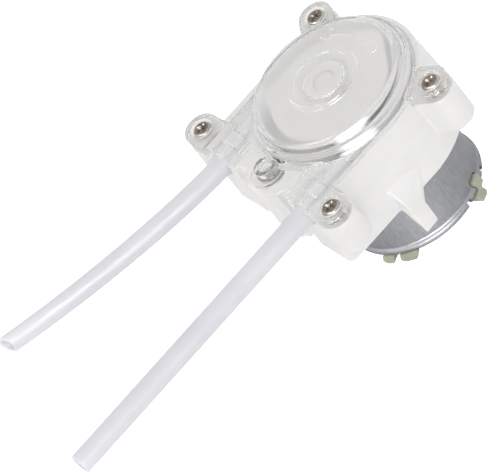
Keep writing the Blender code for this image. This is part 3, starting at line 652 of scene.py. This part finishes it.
def hull(name, points):
    """The closed solid that wraps some points."""
    bm = bmesh.new()
    for point in points:
        bm.verts.new(point)
    bmesh.ops.convex_hull(bm, input=bm.verts)
    return to_object(name, bm)


def snap_rib(side):
    """The panel clip on a side wall: a ramp out of the wall, and its tongue beside the motor."""
    ridge_front, ridge_rear = (23.2, -9.1, 1.8), (23.4, -5.1, 0.6)
    slope = [
        (20.0, -0.1, 6.1),
        (20.0, -9.8, 6.3),
        (20.0, -2.6, 0.1),
        (20.0, -10.1, 0.1),
        (21.05, -0.1, 6.1),
        (21.05, -9.8, 6.3),
        (21.15, -2.6, 0.1),
        (21.15, -10.1, 0.1),
        (23.6, -9.0, -0.7),
        (23.65, -5.4, -1.7),
        ridge_front,
        ridge_rear,
    ]
    tongue = [
        ridge_front,
        ridge_rear,
        (21.2, -9.9, 0.3),
        (21.7, -4.7, 0.3),
        (24.2, -5.7, -6.7),
        (24.2, -9.2, -6.9),
        (25.0, -5.7, -6.4),
        (25.0, -9.2, -6.6),
    ]
    mirrored = [[(side * x, y, z) for x, y, z in points] for points in (slope, tongue)]
    return [hull("clip", points) for points in mirrored]


def housing_walls():
    """The housing's outside, still filled: walls, front lug, screw columns and panel clips."""
    foot = horseshoe(FOOT_R, FOOT_X, FRONT_Y)
    body = slab("housing_moulding", foot, 0.0, RIM_TOP, horseshoe(RIM_R, RIM_X, FRONT_Y + 0.1))
    heights = (-PAST, RIM_TOP + PAST)
    for side in (-1, 1):
        cut(body, side_block("groove", side, FRONT_GROOVES, (NOSE_FRONT_Y, GROOVE_Y), heights))
    nose = [*NOSE, *((-x, y) for x, y in reversed(NOSE))]
    join(body, slab("nose", nose, OFF, NOSE_TOP))
    for side in (-1, 1):
        join(body, slab("column", front_column(side, FRONT_COLUMN_R), *FRONT_COLUMN_Z))
        join(body, slab("column", rear_column(side, REAR_COLUMN_R), *REAR_COLUMN_Z))
        join(body, *snap_rib(side))
    return body


def cut_cover_seat(body):
    """Lowers the land that the cover lies on, inside the rim and under its ears."""
    above, front = RIM_TOP + PAST, NOSE_FRONT_Y - PAST
    cut(body, rod("plate", RIM_INNER, BODY_TOP, above, BROAD))
    cut(body, block("front_top", (-RIM_INNER, front, BODY_TOP), (RIM_INNER, 0.0, above)))
    nose_low, nose_high = (-NOSE_ROOM_X, front - APART, BODY_TOP), (NOSE_ROOM_X, NOSE_ROOM_Y, above + APART)
    cut(body, block("nose_top", nose_low, nose_high))
    for side in (-1, 1):
        for rear in (True, False):
            cut(body, slab("ear_room", ear_plan(side, rear, EAR_ROOM_R), BODY_TOP, above + APART / 2))


def cut_motor_seat(body):
    """Hollows the housing's back for the motor, with the holes in the floor between it and the rotor."""
    cut(body, rod("cup", CUP_R, -PAST, FLOOR_BOTTOM, BROAD))
    cut(body, rod("boss_hole", BOSS_HOLE_R, FLOOR_BOTTOM - PAST, FLOOR_TOP + PAST))
    for x in (-MOTOR_SCREW_X, MOTOR_SCREW_X):
        cut(body, rod("screw_hole", SCREW_HOLE_R, FLOOR_BOTTOM - PAST, FLOOR_TOP, SMALL, (x, 0)))
        cut(body, rod("counterbore", MOTOR_HEAD_ROOM_R, MOTOR_HEAD_SEAT, FLOOR_TOP + PAST, SMALL, (x, 0)))


def cut_track(body):
    """Hollows the housing's front for the rotor, the hose, the post and the cover's screws."""
    above, front = BODY_TOP + PAST, NOSE_FRONT_Y - PAST
    cut(body, rod("track", TRACK_R, FLOOR_TOP, above, BROAD))
    cut(body, rod("post_pocket", POST_R + 0.2, POST_BOTTOM - 0.2, above, 64, POST_XY))
    for x in (-TUBE_X, TUBE_X):
        cut(body, block("slot", (x - CHANNEL_R, front, TUBE_Z), (x + CHANNEL_R, 0.0, above)))
        half = CHANNEL_R - OFF
        cut(body, block("bulge_room", (x - half, BULGE_Y, BULGE_BOTTOM), (x + half, OFF, above + APART)))
        cut(body, lying_rod("groove", CHANNEL_R, x, TUBE_Z, front, 0.0))
        cut(body, lying_rod("stop_pocket", STOP_R, x, TUBE_Z, *STOP_Y))
    for screw_xy in SCREWS.values():
        cut(body, rod("pilot", SCREW_HOLE_R, 8.0, above, 32, screw_xy))


def housing_moulding():
    """The white housing, with the soft edges of a moulded part."""
    body = housing_walls()
    cut_cover_seat(body)
    cut_motor_seat(body)
    cut_track(body)
    soften(body, BODY_VOXEL, BODY_PASSES)
    return show(body, "pump_body", "white_plastic")


# ---------------------------------------------------------------- cover


def dome():
    """The turned middle of the cover, stepped like the real one, with its bearing pocket."""
    outside = [
        (18.7, FLANGE_BOTTOM),
        (18.7, 17.6),
        (20.0, 17.6),
        (20.0, FLANGE_TOP),
        (18.95, 20.2, 0.4),
        (18.3, 20.2, 0.3),
        (17.4, 22.0, 0.3),
        (17.0, DOME_TOP, 0.4),
        (8.5, DOME_TOP, 0.25),
        (8.2, 23.2),
        (7.8, BOSS_TOP, 0.3),
        (7.0, BOSS_TOP, 0.3),
        (6.7, 23.2, 0.25),
        (0, 23.2),
    ]
    inside = [
        (0, 22.0),
        (5.0, 22.0, 0.1),
        (5.0, 20.7, 0.2),
        (16.6, 20.7, 1.0),
        (17.0, 19.3, 0.8),
        (18.2, 18.2, 0.6),
        (18.2, FLANGE_BOTTOM),
    ]
    return lathe("clear_cover", outside + inside, LARGE)


def ring(name, inner, outer, bottom, top, edge=0.0):
    """A flat ring whose outer edges are rounded by edge."""
    outline = [(inner, bottom), (outer, bottom, edge), (outer, top, edge), (inner, top)]
    return lathe(name, outline, LARGE)


def cover_plate():
    """The flange round the dome, and the two arms that hold the hose down."""
    plate = ring("plate", PLUG_INNER, PLUG_R, FLANGE_BOTTOM, FLANGE_TOP)
    join(plate, ring("lip", LIP_INNER, LIP_R, LIP_BOTTOM, FLANGE_TOP, 0.2))
    for side in (-1, 1):
        arm = side_block("arm", side, ARM_X, ARM_Y, (FLANGE_BOTTOM, FLANGE_TOP))
        join(arm, side_block("arm_lip", side, ARM_LIP_X, ARM_LIP_Y, (LIP_BOTTOM, FLANGE_TOP)))
        cut(arm, rod("arm_bore", BORE_R, *THROUGH, BROAD))
        join(plate, arm)
    return plate


def cover_post():
    """The locating post between the arms, on its tab."""
    tab = rod("tab", TAB_R, FLANGE_BOTTOM, TAB_TOP, centre=TAB_XY)
    cut(tab, rod("tab_bore", BORE_R, *THROUGH, BROAD))
    return join(tab, rod("post", POST_R, POST_BOTTOM, POST_TOP, centre=POST_XY))


def rotation_arrow():
    """A plain raised arrow on the dome that shows which way the rotor turns."""
    start, end = ARROW_DEGS
    outer = arc((0, 0), ARROW_R + ARROW_HALF, start, end, 40)
    inner = arc((0, 0), ARROW_R - ARROW_HALF, end, start, 40)
    head = [
        polar(ARROW_R + ARROW_HEAD, end),
        polar(ARROW_R, end + ARROW_TIP),
        polar(ARROW_R - ARROW_HEAD, end),
    ]
    return slab("arrow", outer + head + inner, DOME_TOP - 0.3, DOME_TOP + ARROW_HEIGHT)


def cut_cover_holes(cover):
    """The post's bore, the screw holes, and the hose's room under the arms."""
    above = EAR_TOP + PAST
    cut(cover, rod("post_hole", POST_BORE_R, POST_FLOOR, above, 64, POST_XY))
    for screw_xy in SCREWS.values():
        cut(cover, rod("counterbore", HEAD_ROOM_R, HEAD_SEAT, above, 64, screw_xy))
        cut(cover, rod("clearance", SCREW_HOLE_R, FLANGE_BOTTOM - PAST, HEAD_SEAT + 0.5, SMALL, screw_xy))
    for side in (-1, 1):
        x = side * TUBE_X
        cut(cover, lying_rod("channel", CHANNEL_R, x, TUBE_Z, NOSE_FRONT_Y, -PAST))
        cut(cover, side_block("relief", side, (TUBE_X - 2.9, TUBE_X + 2.8), RELIEF_Y, RELIEF_Z))
        cut(cover, lying_rod("stop_room", STOP_R, x, TUBE_Z, *STOP_Y))


def clear_cover():
    """The clear cover: dome, flange, arms, ridges, ears and post in one moulding."""
    cover = join(dome(), cover_plate(), cover_post())
    for side in (-1, 1):
        join(cover, side_block("ridge", side, RIDGE_X, RIDGE_Y, RIDGE_Z))
        for rear in (True, False):
            ear = slab("ear", ear_plan(side, rear, EAR_R), FLANGE_BOTTOM, EAR_TOP)
            cut(ear, rod("ear_bore", EAR_BORE_R, *THROUGH, BROAD))
            join(cover, ear)
    join(cover, rotation_arrow())
    cut_cover_holes(cover)
    soften(cover, COVER_VOXEL, COVER_PASSES)
    return show(cover, "pump_cover", "clear_plastic")


# ---------------------------------------------------------------- hose


def inlet_bend(distance):
    """How far the inlet hose has bent sideways at a distance in front of the housing."""
    lean = INLET_SLOPE * (math.hypot(distance, INLET_START) - INLET_START)
    return lean + INLET_CURVE * distance**2


def inlet_station(distance):
    """The hose's middle and sideways direction at a distance in front of the housing."""
    slope = (inlet_bend(distance + 0.1) - inlet_bend(max(distance - 0.1, 0))) / 0.2
    sideways = Vector((-1.0, -slope)).normalized()
    return Vector((-TUBE_X - inlet_bend(distance), FRONT_Y - distance)), sideways


def hose_path():
    """Stations along the hose from inlet end to outlet end: (point, direction towards the track's wall)."""
    stations = [inlet_station(INLET_LENGTH * (1 - i / FREE_STEPS)) for i in range(FREE_STEPS)]
    inside = [FRONT_Y * (1 - i / STRAIGHT_STEPS) for i in range(STRAIGHT_STEPS)]
    stations += [(Vector((-TUBE_X, y)), Vector((-1.0, 0.0))) for y in inside]
    for step in range(BEND_STEPS + 1):
        outwards = Vector(polar(1.0, 180 - 180 * step / BEND_STEPS))
        stations.append((outwards * TUBE_X, outwards))
    outlet = [FRONT_Y + (OUTLET_END - FRONT_Y) * (i + 1) / FREE_STEPS for i in range(FREE_STEPS)]
    stations += [(Vector((TUBE_X, y)), Vector((1.0, 0.0))) for y in [*reversed(inside), *outlet]]
    return stations


def hose_room(point, normal):
    """The thickness the rollers leave the hose at a station, measured in from the track's wall."""
    wall = point + normal * TUBE_R
    room = 2 * TUBE_R
    for degrees in ROLLER_DEGS:
        offset = wall - Vector(polar(ROLLER_ORBIT_R, degrees))
        along = offset.dot(normal)
        inside = along**2 - offset.length_squared + (ROLLER_R + ROLLER_GAP) ** 2
        if inside > 0 and along > 0:
            room = min(room, along - math.sqrt(inside))
    return max(room, PRESSED)


def evened(values, reach):
    """Each value's lowest neighbour within reach, then averaged over the same reach."""
    spans = [slice(max(i - reach, 0), i + reach + 1) for i in range(len(values))]
    lowest = [min(values[span]) for span in spans]
    windows = [lowest[span] for span in spans]
    return [sum(window) / len(window) for window in windows]


def hose_loops(bm, point, normal, thick):
    """The outer and inner loop of points at one station, where the hose is pressed to that thickness."""
    middle = point + normal * (TUBE_R - thick / 2)
    half_height = TUBE_R + PRESSED_RISE / 2 * (1 - thick / (2 * TUBE_R))
    wall = min(TUBE_WALL, (thick - PRESSED_BORE) / 2)
    loops = []
    for half_thick, half_high in ((thick / 2, half_height), (thick / 2 - wall, half_height - TUBE_WALL)):
        loop = []
        for step in range(SMALL):
            across, up = polar(1.0, 360 * step / SMALL)
            spot = middle + normal * half_thick * across
            loop.append(bm.verts.new((spot.x, spot.y, TUBE_Z + half_high * up)))
        loops.append(loop)
    return loops


def bridge(bm, first, second):
    """Joins two loops that have the same number of points with a band of quads."""
    for i in range(len(first)):
        j = (i + 1) % len(first)
        bm.faces.new((first[i], first[j], second[j], second[i]))


def hose():
    """The silicone hose, round where it is free and flat where a roller presses it."""
    bm = bmesh.new()
    stations = hose_path()
    thickness = evened([hose_room(*station) for station in stations], 4)
    loops = [hose_loops(bm, *station, thick) for station, thick in zip(stations, thickness)]
    for (outer_a, inner_a), (outer_b, inner_b) in zip(loops, loops[1:]):
        bridge(bm, outer_a, outer_b)
        bridge(bm, inner_b, inner_a)
    bridge(bm, *loops[0])
    bridge(bm, *loops[-1])
    made = bevel(to_object("hose", bm), 0.25, 3, 60)
    return show(made, "pump_tube", "silicone", sharp=50)


# ---------------------------------------------------------------- screws


def threaded(name, centre, root, crest, tip, top):
    """A screw's shank with one helical thread, pointed at the tip."""
    bm = bmesh.new()
    around, rows = 40, int((top - tip) / THREAD_PITCH * 12)
    loops = []
    for row in range(rows + 1):
        height = tip + (top - tip) * row / rows
        taper = min(1.0, 0.25 + (height - tip) / 1.4)
        loop = []
        for step in range(around):
            phase = (height / THREAD_PITCH + step / around) % 1.0
            rise = max(0.0, 1 - abs(phase - 0.5) * 3.2)
            x, y = polar((root + (crest - root) * rise) * taper, 360 * step / around)
            loop.append(bm.verts.new((centre[0] + x, centre[1] + y, height)))
        loops.append(loop)
    for lower, upper in zip(loops, loops[1:]):
        bridge(bm, lower, upper)
    bm.faces.new(loops[0])
    bm.faces.new(loops[-1])
    return to_object(name, bm)


def cross_recess(centre, reach, depth, top):
    """The cutter for a cross recess whose four wings narrow downwards."""
    floor, mouth = top - depth, top + 0.5
    wings = []
    for quarter in (0, 90):
        bm = bmesh.new()
        for height, long, half in ((mouth, reach * 1.18, 0.3), (floor, reach * 0.45, 0.2)):
            for x, y in ((-long, -half), (long, -half), (long, half), (-long, half)):
                bm.verts.new((x, y, height))
        bmesh.ops.convex_hull(bm, input=bm.verts)
        facing = Matrix.Rotation(math.radians(quarter + SCREW_TURN), 3, "Z")
        bmesh.ops.rotate(bm, cent=(0, 0, 0), matrix=facing, verts=bm.verts)
        bmesh.ops.translate(bm, vec=(*centre, 0), verts=bm.verts)
        wings.append(to_object("wing", bm))
    wings.append(lathe("cone", [(0, floor), (0.35, floor), (0.8, mouth), (0, mouth)], 32, centre))
    return wings


def screw(name, node, centre, head_r, bottom, top, root, crest, tip):
    """A pan-head screw with a cross recess and a threaded shank."""
    head = [
        (0, bottom),
        (head_r, bottom, 0.08),
        (head_r, bottom + (top - bottom) * 0.45, 0.3),
        (head_r * 0.84, top - 0.12, 0.5),
        (head_r * 0.4, top, 1.0),
        (0, top),
    ]
    made = lathe(name, head, 96, centre)
    cut(made, *cross_recess(centre, head_r * 0.6, min(1.0, (top - bottom) * 0.8), top))
    join(made, threaded("shank", centre, root, crest, tip, bottom + 0.05))
    return show(made, node, "nickel", sharp=30)


def all_screws():
    """The cover's four screws, and the two that hold the motor."""
    for corner, centre in SCREWS.items():
        screw(f"screw_{corner}", f"cover_screw_{corner}", centre, **COVER_SCREW)
    for hand, x in (("left", -MOTOR_SCREW_X), ("right", MOTOR_SCREW_X)):
        screw(f"flat_screw_{hand}", f"motor_screw_{hand}", (x, 0.0), **MOTOR_SCREW)


# ---------------------------------------------------------------- motor


def rim_notch(degrees, half, height):
    """The cutter for a notch of that height in the can's open rim."""
    low = (NOTCH_X[0], -half, CAN_BACK - PAST)
    return swung(block("notch", low, (NOTCH_X[1], half, CAN_BACK + height)), degrees)


def can_shell():
    """The deep-drawn can with its rolled rear lip and the notches for the end cap's lugs."""
    outline = [
        (CAN_INNER, CAN_BACK),
        (16.75, CAN_BACK, 0.25),
        (CAN_LIP_R, -18.2, 0.35),
        (16.85, -17.5, 0.4),
        (CAN_R, -17.0, 0.5),
        (CAN_R, CAN_FRONT - CAN_WALL, 0.9),
        (CAN_INNER, CAN_FRONT, 0.9),
        (MOTOR_BOSS_R, CAN_FRONT, 0.2),
        (MOTOR_BOSS_R, MOTOR_BOSS_TOP, 0.3),
        (MOTOR_BORE_R, MOTOR_BOSS_TOP, 0.1),
        (MOTOR_BORE_R, CAN_FRONT - CAN_WALL),
        (CAN_INNER, CAN_FRONT - CAN_WALL, 0.8),
    ]
    can = lathe("can_shell", outline, LARGE)
    for degrees in TALL_LUG_DEGS:
        bar = rim_notch(degrees + LUG_BAR_TURN, *LUG_BAR_NOTCH)
        lobe = rim_notch(degrees + LUG_LOBE_TURN, *LUG_LOBE_NOTCH)
        cut(can, bar, lobe)
    for degrees, half in SHORT_LUGS:
        cut(can, rim_notch(degrees, half + SHORT_LUG_GAP, SHORT_LUG_NOTCH))
    for degrees in RIM_NOTCH_DEGS:
        cut(can, rim_notch(degrees, *RIM_NOTCH))
    for x in (-MOTOR_SCREW_X, MOTOR_SCREW_X):
        cut(can, rod("screw_hole", SCREW_HOLE_R, CAN_FRONT - 2.0, CAN_FRONT + PAST, SMALL, (x, 0)))
    return show(can, "motor_can", "zinc_steel", sharp=32)


def end_cap_lug(degrees, sections):
    """A clip out through a notch in the can, from its half width and reach at several heights."""
    points = [(r, y, z) for z, half, reach in sections for r in (LUG_ROOT, reach) for y in (-half, half)]
    return swung(hull("lug", points), degrees)


def end_cap_lugs():
    """Two tall lugs that rise on the can's side, each with a lobe behind its rim, and four short ones."""
    lugs = []
    for degrees in TALL_LUG_DEGS:
        lugs.append(end_cap_lug(degrees + LUG_BAR_TURN, LUG_BAR))
        lugs.append(end_cap_lug(degrees + LUG_LOBE_TURN, LUG_LOBE))
    for degrees, half in SHORT_LUGS:
        sections = [(z, half * share, reach) for z, share, reach in SHORT_LUG]
        lugs.append(end_cap_lug(degrees, sections))
    return lugs


def end_cap():
    """The moulded end cap with the lugs that clip out through the can."""
    outline = [
        (0, CAP_BOTTOM),
        (5.0, CAP_BOTTOM),
        (5.0, -19.2),
        (15.0, -19.2),
        (15.0, -16.6),
        (13.8, -16.6),
        (13.8, -17.4),
        (5.0, -17.4),
        (5.0, -16.2),
        (2.9, -16.2),
        (2.9, -19.1),
        (0, -19.1),
    ]
    cap = lathe("end_cap", outline)
    join(cap, *end_cap_lugs())
    half_x, half_y = TERMINAL_SLOT
    for x in (-TERMINAL_X, TERMINAL_X):
        cut(cap, block("terminal_slot", (x - half_x, -half_y, -21), (x + half_x, half_y, -15)))
    soften(cap, BODY_VOXEL, CAP_PASSES, CAP_FACES)
    return show(cap, "motor_end_cap", "ivory_plastic")


# ---------------------------------------------------------------- rotor


def trefoil(orbit, lobe, waist, spread, waist_spread):
    """A three-lobed outline: a round lobe at each roller, with a hollow waist between."""
    outline = []
    for degrees in ROLLER_DEGS:
        hollow = degrees + 60
        outline += arc(polar(orbit, degrees), lobe, degrees - spread, degrees + spread, 40)
        outline += arc((0, 0), waist, hollow - waist_spread, hollow + waist_spread, 24)
    return outline


def rotor():
    """The rotor's base with its hub, its top plate with the spigot, and the three rollers."""
    base = slab("rotor_carrier", trefoil(*CARRIER), *CARRIER_Z)
    join(base, rod("hub", HUB_R, CARRIER_Z[1] - 0.1, HUB_TOP))
    cut(base, rod("bore", HUB_BORE_R, 8, HUB_BORE_TOP, SMALL))
    top = slab("rotor_plate", trefoil(*TOP_PLATE), *TOP_PLATE_Z)
    join(top, rod("spigot", SPIGOT_R, TOP_PLATE_Z[1] - 0.1, SPIGOT_TOP))
    for degrees in ROLLER_DEGS:
        centre = polar(ROLLER_ORBIT_R, degrees)
        cut(base, rod("pin_hole", PIN_HOLE_R, 8, 12, SMALL, centre))
        cut(top, rod("pin_hole", PIN_HOLE_R, 17, TOP_PLATE_Z[1] - 0.3, SMALL, centre))
    show(soften(base, BODY_VOXEL, 4, ROTOR_FACES), "rotor_base", "roller_plastic", "rotor")
    show(soften(top, BODY_VOXEL, 5, ROTOR_FACES), "rotor_top", "roller_plastic", "rotor")
    for number, degrees in enumerate(ROLLER_DEGS, start=1):
        roller(number, polar(ROLLER_ORBIT_R, degrees))


def roller(number, centre):
    """One roller, with rounded ends."""
    bottom, top = ROLLER_Z
    outline = [
        (ROLLER_BORE_R, bottom, 0.2),
        (ROLLER_R, bottom, 0.35),
        (ROLLER_R, top, 0.35),
        (ROLLER_BORE_R, top, 0.2),
    ]
    wheel = lathe(f"roller_wheel_{number}", outline, 96, centre)
    show(wheel, f"roller_{number}", "roller_plastic", f"roller_{number}_set", 40)


# ---------------------------------------------------------------- stage


def stage():
    """A plain white floor that the camera sees as bright as the background."""
    place = (0, 0, CAD_BOX[0].z - FLOOR_DROP)
    bpy.ops.mesh.primitive_plane_add(size=FLOOR_SIZE, location=place)
    floor = bpy.context.object
    floor.name = "floor"
    material, nodes, links, shader = principled("floor", (0.93, 0.93, 0.93), 0.6)
    glow = nodes.new("ShaderNodeEmission")
    glow.inputs["Color"].default_value = (1, 1, 1, 1)
    mix = nodes.new("ShaderNodeAddShader")
    path = nodes.new("ShaderNodeLightPath")
    links.new(path.outputs["Is Camera Ray"], glow.inputs["Strength"])
    links.new(shader.outputs["BSDF"], mix.inputs[0])
    links.new(glow.outputs["Emission"], mix.inputs[1])
    links.new(mix.outputs["Shader"], nodes["Material Output"].inputs["Surface"])
    floor.data.materials.append(material)


def area_light(name, location, size, energy):
    """A square lamp that points at the frame's origin."""
    light = bpy.data.lights.new(name, "AREA")
    light.size = size
    light.energy = energy
    obj = link(bpy.data.objects.new(name, light))
    obj.location = location
    inward = -Vector(location)
    obj.rotation_euler = inward.to_track_quat("-Z", "Y").to_euler()


def bright_patch(nodes, links, where, direction, near, far, amount):
    """The strength that a patch of sky adds: amount within near degrees of a direction, none past far."""
    dot = nodes.new("ShaderNodeVectorMath")
    dot.operation = "DOT_PRODUCT"
    dot.inputs[1].default_value = Vector(direction).normalized()
    links.new(where, dot.inputs[0])
    fade = nodes.new("ShaderNodeMapRange")
    fade.interpolation_type = "SMOOTHSTEP"
    fade.inputs["From Min"].default_value = math.cos(math.radians(far))
    fade.inputs["From Max"].default_value = math.cos(math.radians(near))
    fade.inputs["To Max"].default_value = amount
    links.new(dot.outputs["Value"], fade.inputs["Value"])
    return fade.outputs["Result"]


def studio_world():
    """Even white for matt surfaces, and one dark and two bright patches for glass and metal to show."""
    world = bpy.data.worlds.new("studio")
    bpy.context.scene.world = world
    world.use_nodes = True
    world.cycles.sampling_method = "NONE"  # so that matt surfaces never meet the patches
    nodes, links = world.node_tree.nodes, world.node_tree.links
    where = nodes.new("ShaderNodeTexCoord").outputs["Generated"]
    total = None
    for patch in WORLD_PATCHES:
        add = nodes.new("ShaderNodeMath")
        add.inputs[1].default_value = WORLD_BASE
        if total:
            links.new(total, add.inputs[1])
        links.new(bright_patch(nodes, links, where, *patch), add.inputs[0])
        total = add.outputs["Value"]
    path = nodes.new("ShaderNodeLightPath")
    mix = nodes.new("ShaderNodeMix")
    mix.inputs["B"].default_value = WORLD_SOFT
    links.new(path.outputs["Is Diffuse Ray"], mix.inputs["Factor"])
    links.new(total, mix.inputs["A"])
    background = nodes["Background"]
    background.inputs["Color"].default_value = (1, 1, 1, 1)
    links.new(mix.outputs["Result"], background.inputs["Strength"])


def lighting():
    """The world and the lamps, shown without a film look."""
    studio_world()
    for name, place, size, energy in LAMPS:
        area_light(name, place, size, energy)
    bpy.context.scene.view_settings.view_transform = "Standard"


def camera():
    """A long lens that looks at the target from that azimuth and elevation, rolled about its view."""
    azimuth, elevation, roll = (math.radians(v) for v in (CAM_AZIMUTH, CAM_ELEVATION, CAM_ROLL))
    right = Vector((math.cos(azimuth), math.sin(azimuth), 0))
    level = Vector((math.sin(azimuth), -math.cos(azimuth), 0))
    back = level * math.cos(elevation) + Vector((0, 0, math.sin(elevation)))
    up = back.cross(right)
    turned_right = right * math.cos(roll) - up * math.sin(roll)
    turned_up = right * math.sin(roll) + up * math.cos(roll)
    data = bpy.data.cameras.new("camera")
    data.lens = CAM_LENS
    data.sensor_width = CAM_SENSOR
    data.sensor_fit = "HORIZONTAL"
    data.clip_start, data.clip_end = 0.05, 20.0
    obj = link(bpy.data.objects.new("camera", data))
    place = (Vector(CAM_TARGET) + back * CAM_DISTANCE) * MM
    rotation = Matrix((turned_right, turned_up, back)).transposed().to_4x4()
    obj.matrix_world = Matrix.Translation(place) @ rotation
    bpy.context.scene.camera = obj


dress_cad_nodes()
housing_moulding()
clear_cover()
hose()
all_screws()
can_shell()
end_cap()
rotor()
stage()
lighting()
camera()
